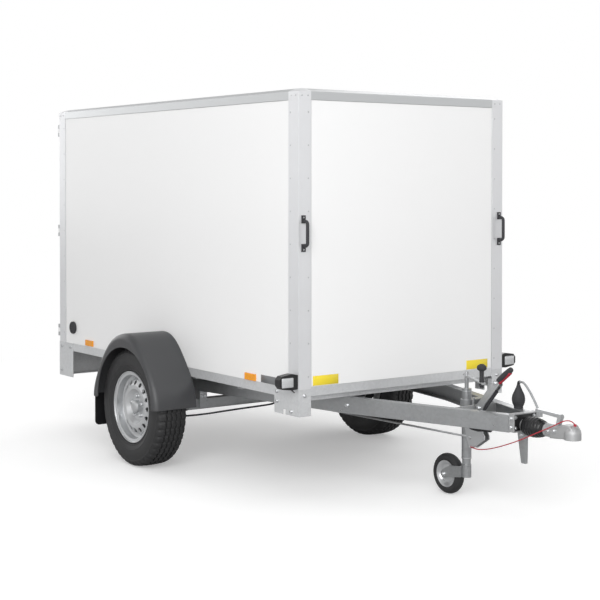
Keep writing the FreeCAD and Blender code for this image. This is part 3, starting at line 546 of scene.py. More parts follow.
# ---------------------------------------------------------------- studio
@dataclass
class Studio:
    """Camera, lamps, floor and surroundings."""

    lens: float = 82.78
    azimuth: float = 54.205
    pitch: float = 0.94
    shift_y: float = -0.156
    stand: Triple = (5.338, -4.518, 1.538)
    shift_x: float = 0.002
    horizon_light: float = 1.2
    zenith_light: float = 0.30
    dim_above: float = 0.7
    floor_seen: float = 0.82
    floor_felt: float = 0.58
    floor_glow: float = 0.30
    fade_start: float = 2.6
    fade_end: float = 5.2

    def add_camera(self, places: Places) -> None:
        """Places the camera ahead and to the right of the trailer.

        Args:
            places: Planes of the trailer.
        """
        data = bpy.data.cameras.new("camera")
        data.lens = self.lens
        data.sensor_width = 36.0
        data.shift_x = self.shift_x
        data.shift_y = self.shift_y
        data.clip_end = 100.0
        camera = bpy.data.objects.new("camera", data)
        x, y, z = self.stand
        camera.location = (places.front + x, y, z)
        camera.rotation_euler = (math.radians(90 - self.pitch), 0, math.radians(self.azimuth))
        bpy.context.scene.collection.objects.link(camera)
        bpy.context.scene.camera = camera

    def add_lamp(self, name: str, place: Vector, target: Vector, size: float, power: float) -> None:
        """Adds one soft square lamp.

        Args:
            name: Lamp's name.
            place: Where it hangs.
            target: Point it faces.
            size: Side of the square.
            power: Output in watts.
        """
        data = bpy.data.lights.new(name, "AREA")
        data.size = size
        data.energy = power
        lamp = bpy.data.objects.new(name, data)
        lamp.location = place
        lamp.rotation_euler = (target - place).to_track_quat("-Z", "Y").to_euler()
        bpy.context.scene.collection.objects.link(lamp)

    def add_lamps(self) -> None:
        """Hangs a large lamp over the right front and fills from the other sides."""
        middle = Vector((0, 0, 1.0))
        for word, place, size, power in LAMPS:
            self.add_lamp(f"lamp_{word}", Vector(place), middle, size, power)

    def add_world(self) -> None:
        """Gives a white surround that lights from the horizon more than from above."""
        world = bpy.data.worlds.new("surround")
        world.use_nodes = True
        bpy.context.scene.world = world
        tree = world.node_tree
        link = tree.links.new
        coords = add_node(tree, "TexCoord")
        split = add_node(tree, "SeparateXYZ")
        link(coords.outputs["Generated"], split.inputs[0])
        height = add_node(tree, "MapRange", {"From Min": 0.0, "From Max": self.dim_above,
                                             "To Min": self.horizon_light, "To Max": self.zenith_light})
        link(split.outputs["Z"], height.inputs["Value"])
        lit = tree.nodes["Background"]
        lit.inputs["Color"].default_value = WHITE
        link(height.outputs["Result"], lit.inputs["Strength"])
        seen = add_node(tree, "Background", {"Color": WHITE, "Strength": 1.0})
        path = add_node(tree, "LightPath")
        mix = add_node(tree, "MixShader")
        link(path.outputs["Is Camera Ray"], mix.inputs["Fac"])
        link(lit.outputs[0], mix.inputs[1])
        link(seen.outputs[0], mix.inputs[2])
        link(mix.outputs[0], tree.nodes["World Output"].inputs["Surface"])

    def add_floor(self) -> None:
        """Lays a white floor that keeps the trailer's shadow."""
        mesh = bmesh.new()
        bmesh.ops.create_grid(mesh, x_segments=1, y_segments=1, size=40)
        data = bpy.data.meshes.new("studio_floor")
        mesh.to_mesh(data)
        mesh.free()
        material = bpy.data.materials.new("studio_floor")
        material.use_nodes = True
        tree = material.node_tree
        link = tree.links.new
        path = add_node(tree, "LightPath")
        coords = add_node(tree, "TexCoord")
        reach = add_node(tree, "VectorMath", operation="LENGTH")
        link(coords.outputs["Object"], reach.inputs[0])
        far = add_node(tree, "MapRange", {"From Min": self.fade_start, "From Max": self.fade_end})
        far.interpolation_type = "SMOOTHSTEP"
        link(reach.outputs["Value"], far.inputs["Value"])
        tone = add_color_mix(tree, (*[self.floor_felt] * 3, 1), (*[self.floor_seen] * 3, 1))
        link(path.outputs["Is Camera Ray"], tone.inputs["Factor"])
        shader = tree.nodes["Principled BSDF"]
        shader.inputs["Roughness"].default_value = 0.9
        shader.inputs["Specular IOR Level"].default_value = 0.0
        link(tone.outputs["Result"], shader.inputs["Base Color"])
        strength = add_node(tree, "Math", {1: self.floor_glow}, "MULTIPLY")
        link(path.outputs["Is Camera Ray"], strength.inputs[0])
        glow = add_node(tree, "Emission")
        link(strength.outputs[0], glow.inputs["Strength"])
        add = add_node(tree, "AddShader")
        link(shader.outputs[0], add.inputs[0])
        link(glow.outputs[0], add.inputs[1])
        white = add_node(tree, "Emission")
        blend = add_node(tree, "Math", operation="MULTIPLY")
        link(far.outputs["Result"], blend.inputs[0])
        link(path.outputs["Is Camera Ray"], blend.inputs[1])
        mix = add_node(tree, "MixShader")
        link(blend.outputs[0], mix.inputs["Fac"])
        link(add.outputs[0], mix.inputs[1])
        link(white.outputs[0], mix.inputs[2])
        link(mix.outputs[0], tree.nodes["Material Output"].inputs["Surface"])
        data.materials.append(material)
        floor = bpy.data.objects.new("studio_floor", data)
        bpy.context.scene.collection.objects.link(floor)

    def build(self, places: Places) -> None:
        """Builds the whole studio.

        Args:
            places: Planes of the trailer.
        """
        bpy.context.scene.view_settings.view_transform = "Standard"
        self.add_camera(places)
        self.add_lamps()
        self.add_world()
        self.add_floor()
        LOG.info("studio ready")


# ---------------------------------------------------------------- cords
@dataclass
class Cords:
    """Free cords: the towing lead and the red breakaway cable."""

    places: Places
    lead_diameter: float = 0.011
    cable_diameter: float = 0.005
    lead_length: float = 0.257
    cable_length: float = 0.727

    def lay(self, name: str, route: Sequence[Vector], diameter: float, finish: Finish) -> bpy.types.Object:
        """Lays a round cord along a smooth curve.

        Args:
            name: Piece's name.
            route: Control points in the trailer's frame.
            diameter: Cord's diameter.
            finish: Cord's finish.

        Returns:
            The curve object.
        """
        data = bpy.data.curves.new(name, "CURVE")
        data.dimensions = "3D"
        spline = data.splines.new("NURBS")
        spline.points.add(len(route) - 1)
        for control, place in zip(spline.points, route):
            control.co = (*place, 1.0)
        spline.order_u = 3
        spline.use_endpoint_u = True
        spline.resolution_u = 12
        data.bevel_depth = diameter / 2
        data.bevel_resolution = 4
        data.use_fill_caps = True
        data.materials.append(finish.material())
        cord = bpy.data.objects.new(name, data)
        bpy.context.scene.collection.objects.link(cord)
        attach(cord, Body.TRAILER.value)
        LOG.info("cord %s: %d points", name, len(route))
        return cord

    def build(self) -> None:
        """Builds both cords."""
        ahead = self.places.ahead
        seat = self.places.plug_seat
        heading = Vector((0.931, -0.365, 0.0)) * MM
        profile = ((18, 115.2), (47.5, 120.4), (81.9, 109.9), (122.3, 90.2), (164.7, 63.7), (203.8, 34.2),
                   (240.8, 3))
        lead = [seat + heading * reach + Vector((0, 0, rise * MM)) for reach, rise in profile]
        cord = self.lay("towing_lead", lead, self.lead_diameter, Finishes.LEAD)
        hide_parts("plug_lead")
        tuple(lead[0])
        cable = [ahead(498, -22, 286), ahead(540, -28, 281), ahead(592, -35, 287), ahead(645, -43, 299),
                 ahead(698, -50, 314), ahead(750, -56, 331), ahead(802, -60, 350), ahead(854, -62, 370),
                 ahead(904, -62, 392), ahead(953, -60, 415), ahead(1002, -57, 438), ahead(1050, -53, 460),
                 ahead(1090, -48, 481), ahead(1113, -42, 494), ahead(1133, -29, 500),
                 ahead(1144.5, -10, 492), ahead(1143.5, 4.5, 477)]
        cord = self.lay("safety_cable", cable, self.cable_diameter, Finishes.RED)
        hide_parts("breakaway_cable")
        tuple(cable[0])


# ---------------------------------------------------------------- carried-over construction
@dataclass
class Construction:
    """Dresses the nodes that keep their own shape."""

    smooth_angle: float = 32.0
    weld_gap: float = 0.00002

    def soften(self, node: bpy.types.Object) -> None:
        """Shades a node's curved faces smoothly and keeps its edges crisp.

        Args:
            node: The node's object.
        """
        if node.data.has_custom_normals:
            with bpy.context.temp_override(object=node, active_object=node, mesh=node.data):
                bpy.ops.mesh.customdata_custom_splitnormals_clear()
        for polygon in node.data.polygons:
            polygon.use_smooth = True
        weld = node.modifiers.new("weld", "WELD")
        weld.merge_threshold = self.weld_gap
        split = node.modifiers.new("crisp_edges", "EDGE_SPLIT")
        split.split_angle = math.radians(self.smooth_angle)

    def build(self) -> None:
        """Gives every node its finish."""
        for finish, names in NODE_FINISH.items():
            for name in names:
                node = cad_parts[name]
                node.data.materials.clear()
                node.data.materials.append(finish.material())
                self.soften(node)
                LOG.info("node %s: %s", name, finish.name)


# ---------------------------------------------------------------- road wheels
@dataclass
class RoadWheel:
    """Tyre with grooved tread, and the rim's bolts, cap and valve."""

    places: Places
    side: Side
    half_width: float = 0.094
    rim_lip: float = 0.194
    grooves: Sequence[float] = (-0.043, -0.0145, 0.0145, 0.043)
    groove_half: float = 0.0050
    groove_depth: float = 0.0090
    tread_edge: float = 0.064
    crown_drop: float = 0.0035
    zigzag: float = 0.0020
    sipe_depth: float = 0.0040
    shoulder_cut: float = 0.0055
    segments: int = 288
    bolt_circle: float = 0.056
    bolts: int = 5

    @property
    def body(self) -> Body:
        """Body this wheel rides on."""
        return Body.WHEEL_LEFT if self.side is Side.LEFT else Body.WHEEL_RIGHT

    @property
    def radius(self) -> float:
        """Tyre's outer radius, which is its hub's height."""
        return self.places.wheel.z

    @property
    def centre(self) -> Vector:
        """Centre of the wheel."""
        wheel = self.places.wheel
        return Vector((wheel.x, wheel.y * self.side.value, wheel.z))

    def tread(self) -> list[tuple[float, float]]:
        """Outline across the tread with its grooves.

        Returns:
            Points from the inner shoulder to the outer one.
        """
        crown = self.radius
        edge = self.tread_edge
        points = [(-edge, crown - self.crown_drop)]
        for middle in self.grooves:
            drop = self.crown_drop * (middle / edge) ** 2
            top = crown - drop
            wide = self.groove_half
            points += [(middle - wide - 0.001, top), (middle - wide, top - 0.001),
                       (middle - wide * 0.6, top - self.groove_depth),
                       (middle + wide * 0.6, top - self.groove_depth),
                       (middle + wide, top - 0.001), (middle + wide + 0.001, top)]
        points.append((edge, crown - self.crown_drop))
        return points

    def side_wall(self) -> list[tuple[float, float]]:
        """Outline of the outer side wall, from the shoulder to the bead.

        Returns:
            Points with the shoulder's round, two raised rings and the rim protector.
        """
        wide = self.half_width
        return [(0.073, 0.3172), (0.080, 0.3120), (0.0845, 0.3045), (0.0875, 0.2960), (0.0885, 0.2935),
                (0.0902, 0.2925), (0.0905, 0.2895), (0.0893, 0.2885), (0.0925, 0.2720), (wide, 0.2580),
                (wide, 0.2440), (0.0930, 0.2330), (0.0938, 0.2322), (0.0936, 0.2295), (0.0922, 0.2290),
                (0.0880, 0.2160), (0.0838, 0.2080), (0.0852, 0.2050), (0.0840, 0.2015), (0.0790, 0.1975),
                (0.0725, self.rim_lip), (0.070, 0.178), (0.054, 0.17706)]

    def shape(self, step: int, along: float, radius: float) -> tuple[float, float]:
        """Cuts the sipes and gives the grooves their zigzag.

        Args:
            step: Step round the tyre.
            along: Distance from the wheel's middle.
            radius: Distance from its axis.

        Returns:
            Changed distance and radius.
        """
        if radius > self.radius - 0.014 and abs(along) < 0.058:
            along += self.zigzag * (1 if (step // 3) % 2 else -1)
        shoulder = 0.058 <= abs(along) <= 0.086 and radius > self.radius - 0.030
        if shoulder and step % 6 in (0, 1):
            radius -= self.shoulder_cut
        rib = abs(along) < 0.056 and radius > self.radius - 0.0045
        if rib and step % 6 == 0:
            radius -= self.sipe_depth
        return along, radius

    def build_tyre(self) -> None:
        """Builds the tyre and hides its plain node."""
        wall = self.side_wall()
        inner_wall = [(-a, r) for a, r in reversed(wall)]
        inside = [(0.060, 0.2000), (0.080, 0.2450), (0.072, 0.2950), (0.052, 0.3065),
                  (-0.052, 0.3065), (-0.072, 0.2950), (-0.080, 0.2450), (-0.060, 0.2000)]
        outline = inner_wall + self.tread() + wall + inside
        mesh = bmesh.new()
        add_lathe(mesh, outline, self.centre, LEFTWARD, self.segments, True, self.shape)
        piece = publish(f"tyre_tread_{self.side.word}", mesh, self.body, Finishes.TYRE, 28)
        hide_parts(f"tyre_{self.side.word}")

    def build_fittings(self) -> None:
        """Builds the wheel bolts, the hub cap and the valve."""
        out = Vector((0, self.side.value, 0))
        face = self.centre + out * 0.0355
        mesh = bmesh.new()
        for i in range(self.bolts):
            angle = 2 * math.pi * (i + 0.25) / self.bolts
            spot = Vector((self.bolt_circle * math.cos(angle), 0, self.bolt_circle * math.sin(angle)))
            add_lathe(mesh, [(0, 0.0135), (0.004, 0.0120), (0.006, 0.0110)], face + spot, out, 24, False)
            add_lathe(mesh, [(0.005, 0.0115), (0.015, 0.0115), (0.0175, 0.0095)], face + spot, out, 6, False)
        publish(f"wheel_bolts_{self.side.word}", mesh, self.body, Finishes.ZINC)
        mesh = bmesh.new()
        cap = [(0.0, 0.0335), (0.018, 0.0335), (0.019, 0.0345), (0.022, 0.0345), (0.0235, 0.0325),
               (0.0275, 0.0290), (0.0295, 0.0230), (0.0305, 0.0120), (0.0307, 0.002)]
        add_lathe(mesh, cap, face, out, 64, False)
        publish(f"hub_cap_{self.side.word}", mesh, self.body, Finishes.ZINC)
        mesh = bmesh.new()
        spot = self.centre + Vector((0.148, 0, 0.05)) + out * 0.030
        stem = [(0, 0.0085), (0.006, 0.0075), (0.012, 0.0045), (0.030, 0.0042), (0.031, 0.0050),
                (0.040, 0.0050), (0.041, 0.0040)]
        add_lathe(mesh, stem, spot, out, 20, False)
        publish(f"valve_{self.side.word}", mesh, self.body, Finishes.RUBBER)

    def build(self) -> None:
        """Builds the wheel."""
        self.build_tyre()
        self.build_fittings()


# ---------------------------------------------------------------- mudguards
@dataclass
class Mudguard:
    """Trim on one moulded mudguard: the rolled lip and the flap's bolts."""

    places: Places
    side: Side
    lip: float = 0.0045
    arch_radius: float = 0.303
    foot: float = 0.350

    def build(self) -> None:
        """Builds the lip round the wheel arch and the bolts on the flap."""
        sign = self.side.value
        low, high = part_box(f"mudguard_{self.side.word}")
        outer = max(abs(low.y), abs(high.y))
        axle = self.places.wheel.x
        mesh = bmesh.new()
        steps = 72
        ring = 10
        loops = []
        for i in range(steps + 1):
            angle = math.pi * i / steps
            spoke = Vector((math.cos(angle), 0, math.sin(angle)))
            middle = Vector((axle, (outer - 0.004) * sign, self.foot)) + spoke * self.arch_radius
            loop = []
            for j in range(ring):
                turn = 2 * math.pi * j / ring
                offset = spoke * math.cos(turn) * self.lip + Vector((0, math.sin(turn) * self.lip, 0))
                loop.append(mesh.verts.new(middle + offset))
            loops.append(loop)
        for before, after in zip(loops, loops[1:]):
            for j in range(ring):
                k = (j + 1) % ring
                mesh.faces.new((before[j], after[j], after[k], before[k]))
        mesh.faces.new(loops[0])
        mesh.faces.new(reversed(loops[-1]))
        publish(f"guard_lip_{self.side.word}", mesh, Body.TRAILER, Finishes.GUARD, 60)
        mesh = bmesh.new()
        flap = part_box("mud_flaps")
        feet = [Vector((flap[0].x, y * sign, self.foot - 0.024)) for y in (0.75, 0.81, 0.87)]
        add_bolts(mesh, feet, BACKWARD, 0.013)
        publish(f"flap_bolts_{self.side.word}", mesh, Body.TRAILER, Finishes.ZINC)


# ---------------------------------------------------------------- box
@dataclass
class CargoBox:
    """Trim on the box: rivets, lips, stickers, lamps and bolts."""

    places: Places
    rivet: float = 0.0042

    def add_rivet(self, mesh: bmesh.types.BMesh, foot: Vector, outward: Vector) -> None:
        """Adds one domed rivet.

        Args:
            mesh: Mesh to add to.
            foot: Where the rivet stands.
            outward: Direction it faces.
        """
        r = self.rivet
        add_lathe(mesh, [(0, r), (r * 0.25, r * 0.9), (r * 0.45, r * 0.55), (r * 0.5, r * 0.1)],
                  foot, outward, 12, False)

    def build_rivets(self) -> None:
        """Rivets along the posts and on the corner caps."""
        p = self.places
        mesh = bmesh.new()
        count = 9
        margin = 0.06
        run = p.panel_top - p.floor_level - 2 * margin
        heights = [p.floor_level + margin + run * i / (count - 1) for i in range(count)]
        for sign in (-1, 1):
            out = Vector((0, sign, 0))
            for x in (p.front - 0.068, p.rear + 0.068):
                for z in heights:
                    self.add_rivet(mesh, Vector((x, p.half * sign, z)), out)
            for x in (p.front - 0.060, p.front - 0.024, p.rear + 0.060, p.rear + 0.024):
                self.add_rivet(mesh, Vector((x, p.half * sign, p.panel_top + 0.020)), out)
            for z in heights:
                self.add_rivet(mesh, Vector((p.front, (p.half - 0.058) * sign, z)), FORWARD)
            for y in (0.020, 0.056):
                self.add_rivet(mesh, Vector((p.front, (p.half - y) * sign, p.panel_top + 0.020)),
                               FORWARD)
        publish("box_rivets", mesh, Body.TRAILER, Finishes.ZINC)

    def build_lips(self) -> None:
        """Narrow lips where the posts and roof profiles hold the walls; their mid grey is painted shade along
        the seams.
        """
        p = self.places
        mesh = bmesh.new()
        deep = 0.0012
        wide = 0.0025
        for sign in (-1, 1):
            face = p.panel_face * sign
            y0, y1 = face, face + deep * sign
            for x in (p.front - 0.084, p.rear + 0.084):
                toward = -1 if x > 0 else 1
                x0, x1 = x, x + wide * toward
                add_block(mesh, Vector((x0, y0, p.floor_level)), Vector((x1, y1, p.panel_top)), 0.0003)
            add_block(mesh, Vector((p.rear + 0.087, y0, p.panel_top - wide)),
                      Vector((p.front - 0.087, y1, p.panel_top)), 0.0003)
            x = p.front - 0.003
            edge = (p.half - 0.074) * sign
            y0, y1 = edge, edge - wide * sign
            add_block(mesh, Vector((x, y0, p.floor_level + 0.012)),
                      Vector((x + deep, y1, p.panel_top)), 0.0003)
        add_block(mesh, Vector((p.front - 0.003, -p.half + 0.077, p.panel_top - wide)),
                  Vector((p.front - 0.003 + deep, p.half - 0.077, p.panel_top)), 0.0003)
        publish("panel_lips_seam_shade", mesh, Body.TRAILER, Finishes.TRIM)

    def build_stickers(self) -> None:
        """Blank stickers: two yellow ones on the front, a neutral one on each side."""
        p = self.places
        thick = 0.0006
        for sign, low, high in ((-1, 0.428, 0.583), (1, 0.416, 0.567)):
            y0, y1 = low * sign, high * sign
            mesh = bmesh.new()
            x = p.front - 0.003
            add_block(mesh, Vector((x, y0, 0.5635)), Vector((x + thick, y1, 0.611)), 0.0002)
            name = Side(sign).word
            publish(f"front_sticker_{name}", mesh, Body.TRAILER, Finishes.YELLOW_VINYL)
            mesh = bmesh.new()
            y0, y1 = p.panel_face * sign, (p.panel_face + thick) * sign
            add_block(mesh, Vector((p.front - 0.324, y0, 0.552)),
                      Vector((p.front - 0.173, y1, 0.590)), 0.0002)
            publish(f"side_sticker_{name}", mesh, Body.TRAILER, Finishes.GREY_VINYL)

    def build_marker_lenses(self) -> None:
        """Front lenses of the two marker lamps, each in a raised rim."""
        low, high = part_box("marker_lamps")
        x = high.x
        for side in Side:
            sign = side.value
            mesh = bmesh.new()
            y0, y1 = 0.697 * sign, 0.764 * sign
            add_block(mesh, Vector((x - 0.004, y0, 0.566)), Vector((x + 0.005, y1, 0.613)), 0.008)
            publish(f"marker_lens_{side.word}", mesh, Body.TRAILER, Finishes.CLEAR_LENS, 50)
            mesh = bmesh.new()
            start = Vector((x - 0.020, 0.700 * sign, 0.556))
            add_rod(mesh, start, start + Vector((0, -0.024 * sign, -0.020)), 0.003)
            publish(f"marker_tail_{side.word}", mesh, Body.TRAILER, Finishes.BLACK)

    def build_frame_bolts(self) -> None:
        """Bolts in the corner brackets, the rear member and the axle brackets."""
        p = self.places
        mesh = bmesh.new()
        for sign in (-1, 1):
            out = Vector((0, sign, 0))
            spots = [(-0.180, 0.525), (-0.180, 0.478), (-0.060, 0.440)]
            add_bolts(mesh, [Vector((p.front + x, p.half * sign, z)) for x, z in spots], out, 0.016)
            spots = [(0.035, 0.525), (0.150, 0.525), (0.035, 0.375)]
            add_bolts(mesh, [Vector((p.rear + x, p.half * sign, z)) for x, z in spots], out, 0.016)
            add_bolts(mesh, [Vector((p.front, (p.half - 0.036) * sign, 0.520))], FORWARD, 0.016)
        low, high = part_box("axle_brackets")
        for sign in (-1, 1):
            y = (high.y - 0.023) * sign
            spots = [Vector((high.x, y + w, z)) for w in (-0.012, 0.012) for z in (0.375, 0.392)]
            add_bolts(mesh, spots, FORWARD, 0.013)
        publish("frame_bolts", mesh, Body.TRAILER, Finishes.ZINC)

    def build_handle_screws(self) -> None:
        """Screws in the tabs of the bow handles."""
        p = self.places
        mesh = bmesh.new()
        for sign in (-1, 1):
            for z in (1.222, 1.377):
                self.add_rivet(mesh, Vector((p.front + 0.006, (p.half - 0.027) * sign, z)), FORWARD)
        publish("handle_screws", mesh, Body.TRAILER, Finishes.ZINC)

    def build_vents(self) -> None:
        """Louvred caps on the two round vents."""
        low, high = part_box("side_vents")
        middle_x = (low.x + high.x) / 2
        middle_z = (low.z + high.z) / 2
        radius = (high.z - low.z) / 2
        mesh = bmesh.new()
        for sign in (-1, 1):
            out = Vector((0, sign, 0))
            foot = Vector((middle_x, high.y * sign, middle_z))
            rim = [(0, radius), (0.002, radius), (0.004, radius * 0.94), (0.003, radius * 0.84),
                   (0, radius * 0.82)]
            add_lathe(mesh, rim, foot, out, 48, True)
            slats = 5
            for i in range(slats):
                z = middle_z + radius * 0.72 * (2 * i / (slats - 1) - 1)
                reach = math.sqrt(max(0.0, (radius * 0.84) ** 2 - (z - middle_z) ** 2))
                y0, y1 = high.y * sign, (high.y + 0.0025) * sign
                add_block(mesh, Vector((middle_x - reach, y0, z - 0.0025)),
                          Vector((middle_x + reach, y1, z + 0.0025)), 0.001)
        publish("vent_caps", mesh, Body.TRAILER, Finishes.BLACK)

    def build_rear(self) -> None:
        """Rear lamps' lenses, triangle reflectors and the blank number plate."""
        p = self.places
        low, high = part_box("rear_lamps")
        for side in Side:
            sign = side.value
            zones = ((0.444, 0.506, Finishes.RED_LENS, "stop"), (0.509, 0.571, Finishes.AMBER, "turn"),
                     (0.574, 0.634, Finishes.RED_LENS, "tail"))
            for y_low, y_high, finish, word in zones:
                y0, y1 = y_low * sign, y_high * sign
                mesh = bmesh.new()
                add_block(mesh, Vector((low.x - 0.004, y0, low.z + 0.007)),
                          Vector((low.x + 0.004, y1, high.z - 0.007)), 0.003)
                publish(f"rear_lens_{word}_{side.word}", mesh, Body.TRAILER, finish, 50)
            mesh = bmesh.new()
            centre = Vector((p.rear, 0.345 * sign, 0.450))
            base = [(0, 0.052), (0.006, 0.052), (0.008, 0.048)]
            add_lathe(mesh, base, centre, BACKWARD, 3, False)
            publish(f"triangle_{side.word}", mesh, Body.TRAILER, Finishes.RED_LENS)
        mesh = bmesh.new()
        add_block(mesh, Vector((p.rear - 0.004, -0.260, 0.360)), Vector((p.rear, 0.260, 0.470)), 0.0012)
        publish("number_plate_blank", mesh, Body.TRAILER, Finishes.PLATE)

    def build(self) -> None:
        """Builds all trim of the box."""
        self.build_rivets()
        self.build_lips()
        self.build_stickers()
        self.build_marker_lenses()
        self.build_frame_bolts()
        self.build_handle_screws()
        self.build_vents()
        self.build_rear()


@dataclass
class RearDoor:
    """Edging and seal of one door leaf."""

    places: Places
    side: Side
    edging: float = 0.032
    proud: float = 0.002

    @property
    def body(self) -> Body:
        """Body this leaf rides on."""
        return Body.DOOR_LEFT if self.side is Side.LEFT else Body.DOOR_RIGHT

    def build(self) -> None:
        """Builds the aluminium edging round the leaf and the rubber lip inside it."""
        sign = self.side.value
        edge = self.places.half - 0.055
        near = 0.0025
        bottom = self.places.floor_level + 0.005
        top = self.places.panel_top - 0.005
        face = self.places.rear
        for word, finish, inset, wide, x0, x1 in (
                ("edging", Finishes.POST, 0.0, self.edging, face - self.proud, face),
                ("seal", Finishes.RUBBER, 0.004, 0.014, face + 0.025, face + 0.028)):
            y_in, y_out = near + inset, edge - inset
            z0, z1 = bottom + inset, top - inset
            mesh = bmesh.new()
            for y_a, y_b, z_a, z_b in ((y_in, y_in + wide, z0, z1), (y_out - wide, y_out, z0, z1),
                                       (y_in + wide, y_out - wide, z0, z0 + wide),
                                       (y_in + wide, y_out - wide, z1 - wide, z1)):
                y0, y1 = y_a * sign, y_b * sign
                add_block(mesh, Vector((x0, y0, z_a)), Vector((x1, y1, z_b)), 0.0006)
            publish(f"door_{word}_{self.side.word}", mesh, self.body, finish)


# ---------------------------------------------------------------- drawbar
@dataclass
class Drawbar:
    """Trim on the drawbar: boot, bolts, grip stripe, plug ribs, a dark sheet of painted shade in the head's
    mouth, and bell-crank arm.
    """

    places: Places
    ribs: int = 6

    def build_bellows(self) -> None:
        """Ribbed rubber boot round the draw tube."""
        low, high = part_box("bellows")
        middle = (low + high) / 2
        length = high.x - low.x
        bore = 0.0272
        wide = (high.z - low.z) / 2
        outline = [(0, bore), (0, 0.0375)]
        steps = 60
        for i in range(1, steps):
            t = 0.82 * i / steps
            swell = 0.0375 + (wide - 0.0015 - 0.0375) * math.sin(math.pi * min(1.0, t / 0.78)) ** 0.8
            outline.append((t * length, swell + 0.0012 * math.cos(2 * math.pi * self.ribs * t / 0.82)))
        outline += [(0.84 * length, 0.0330), (0.86 * length, 0.0315), (0.90 * length, 0.0315),
                    (0.91 * length, 0.0300), (0.95 * length, 0.0300), (0.96 * length, 0.0313),
                    (length, 0.0310), (length, bore)]
        mesh = bmesh.new()
        add_lathe(mesh, outline, Vector((low.x, middle.y, middle.z)), FORWARD, 72)
        piece = publish("bellows_boot", mesh, Body.TRAILER, Finishes.RUBBER, 50)
        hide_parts("bellows")

    def build_bolts(self) -> None:
        """Bolts through the beams, the head, the levers and the coupling."""
        ahead = self.places.ahead
        mesh = bmesh.new()
        slope = (365.0 - 80.0) / 875.0
        for sign in (-1, 1):
            out = Vector((slope, sign, 0)).normalized()
            add_bolts(mesh, [ahead(-30, (365.0 - slope * 30.0) * sign, 445)], out, 0.018)
            lever = 27 if sign < 0 else 18
            for x, y, z, across in ((830, 78, 430, 0.016), (830, 78, 470, 0.016), (549, 14, 476, 0.016),
                                    (658, 14, 606, 0.016), (494, lever, 386, 0.018), (492, 18, 327, 0.014),
                                    (830, 14, 388, 0.014), (1010, 28.5, 434, 0.017), (1048, 29, 440, 0.017)):
                add_bolt(mesh, ahead(x, y * sign, z), Vector((0, sign, 0)), across)
        publish("drawbar_bolts", mesh, Body.TRAILER, Finishes.ZINC)

    def build_grip_stripe(self) -> None:
        """Red release stripe along the handbrake grip."""
        ahead = self.places.ahead
        start = ahead(664, 0, 612)
        slope = Vector((0.79, 0, 0.613)).normalized()
        down = Vector((0.613, 0, -0.79)).normalized()
        mesh = bmesh.new()
        add_rod(mesh, start + slope * 0.006 + down * 0.0075, start + slope * 0.098 + down * 0.0075, 0.0105)
        publish("grip_stripe", mesh, Body.TRAILER, Finishes.RED)

    def build_plug_ribs(self) -> None:
        """Grip ribs round the parked plug."""
        seat = self.places.plug_seat
        mesh = bmesh.new()
        ribs = 6
        lowest = 8
        pitch = 9
        for i in range(ribs):
            rise = lowest + pitch * i
            radius = (22 + 9 * (1 - ((rise - 31.5) / 32.5) ** 2)) * MM
            ring = [(-0.0016, radius - 0.002), (0, radius + 0.0009), (0.0016, radius - 0.002)]
            add_lathe(mesh, ring, seat + Vector((0, 0, rise * MM)), UPWARD, 40, True)
        publish("plug_ribs", mesh, Body.TRAILER, Finishes.BLACK, 60)

    def build_mouth(self) -> None:
        """Dark rubber sheet in the mouth of the overrun head, painted shade of its hollow, with its corner
        bolts.
        """
        ahead = self.places.ahead
        mesh = bmesh.new()
        # Dark sheet standing in for the shade inside the head's mouth: painted shade.
        add_block(mesh, ahead(834, -72, 414), ahead(838, 72, 486), 0.001)
        publish("head_mouth_shade", mesh, Body.TRAILER, Finishes.RUBBER)
        mesh = bmesh.new()
        feet = [ahead(838, y, z) for y in (-60, 60) for z in (426, 474)]
        add_bolts(mesh, feet, FORWARD, 0.015)
        publish("head_bolts", mesh, Body.TRAILER, Finishes.ZINC)

    def build_bell_crank(self) -> None:
        """Black cranked arm beside the hanging plates, under the beams."""
        ahead = self.places.ahead
        outline = [(482, 392), (500, 402), (556, 394), (600, 400), (646, 397), (652, 386), (640, 374),
                   (600, 374), (556, 366), (512, 368), (486, 376)]
        mesh = bmesh.new()
        add_plate(mesh, [ahead(x, 0, z) for x, z in outline], -0.027, -0.0185)
        publish("bell_crank_arm", mesh, Body.TRAILER, Finishes.BLACK)

    def build(self) -> None:
        """Builds all trim of the drawbar."""
        self.build_bellows()
        self.build_bolts()
        self.build_grip_stripe()
        self.build_plug_ribs()
        self.build_mouth()
        self.build_bell_crank()


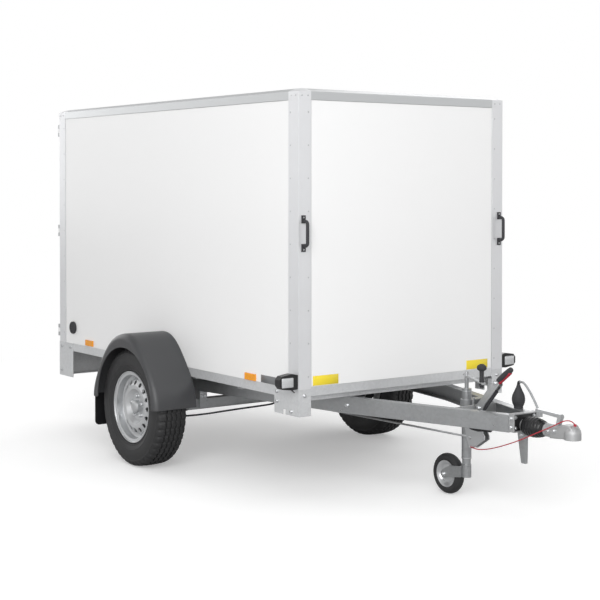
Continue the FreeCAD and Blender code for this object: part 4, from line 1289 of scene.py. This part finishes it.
# ---------------------------------------------------------------- jockey wheel
@dataclass
class JockeyWheel:
    """Tyre, grip and fittings of the jockey wheel."""

    places: Places
    segments: int = 120

    def build_tyre(self) -> None:
        """Solid rubber tyre with a moulded line on each shoulder."""
        centre = self.places.jockey_wheel
        low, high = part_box("jockey_tyre")
        half = (high.y - low.y) / 2
        radius = (high.z - low.z) / 2
        side = [(0.016, 0.0660), (0.0218, 0.0662), (0.0242, 0.0715), (half, 0.0780), (0.0244, 0.0840),
                (0.0232, 0.0850), (0.0228, 0.0880), (0.0205, 0.0920), (0.0165, 0.0955), (0.0100, 0.0985),
                (0.0030, radius)]
        outline = [(-a, r) for a, r in side] + list(reversed(side)) + [(0.010, 0.058), (-0.010, 0.058)]
        mesh = bmesh.new()
        add_lathe(mesh, outline, centre, LEFTWARD, self.segments)
        piece = publish("jockey_tread", mesh, Body.JOCKEY_WHEEL, Finishes.TYRE, 28)
        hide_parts("jockey_tyre")

    def build_fittings(self) -> None:
        """Axle nuts, clamp lever, tube collars and the crank's grip."""
        ahead = self.places.ahead
        hub = self.places.jockey_wheel
        mesh = bmesh.new()
        for sign in (-1, 1):
            add_bolt(mesh, Vector((hub.x, hub.y + 0.035 * sign, hub.z)), Vector((0, sign, 0)), 0.020)
        publish("jockey_nuts", mesh, Body.JOCKEY_SWIVEL, Finishes.ZINC)
        axis = self.places.jockey
        mesh = bmesh.new()
        for z in (0.196, 0.395, 0.524):
            add_lathe(mesh, [(0, 0.0241), (0.0006, 0.0250), (0.0044, 0.0250), (0.005, 0.0241)],
                      Vector((axis.x, axis.y, z)), UPWARD, 48, True)
        add_bolt(mesh, Vector((axis.x + 0.031, axis.y, 0.445)), FORWARD, 0.018)
        lever = Vector((axis.x + 0.042, axis.y, 0.445))
        add_rod(mesh, lever, Vector((axis.x + 0.052, axis.y, 0.500)), 0.005)
        publish("jockey_collars", mesh, Body.TRAILER, Finishes.ZINC)
        grip = [(0, 0.0090), (0.002, 0.0115), (0.028, 0.0098), (0.056, 0.0108), (0.062, 0.0205),
                (0.070, 0.0235), (0.081, 0.0210), (0.090, 0.008)]
        mesh = bmesh.new()
        add_lathe(mesh, [(a, r + 0.0006) for a, r in grip], ahead(463, 86, 578), UPWARD, 40, False)
        add_lathe(mesh, [(0, 0.0090), (0.021, 0.0156), (0.022, 0.0140)], ahead(463, 86, 553.5),
                  UPWARD, 40, False)
        publish("crank_grip", mesh, Body.TRAILER, Finishes.BLACK, 40)

    def build(self) -> None:
        """Builds the jockey wheel's looks."""
        self.build_tyre()
        self.build_fittings()


def main() -> None:
    """Builds every sub-assembly in order."""
    logging.basicConfig(level=logging.INFO, format="%(name)s %(message)s")
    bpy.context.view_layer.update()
    places = Places()
    Studio().build(places)
    Cords(places).build()
    Construction().build()
    for side in Side:
        RoadWheel(places, side).build()
        Mudguard(places, side).build()
        RearDoor(places, side).build()
    CargoBox(places).build()
    Drawbar(places).build()
    JockeyWheel(places).build()


if __name__ == "__main__":
    main()
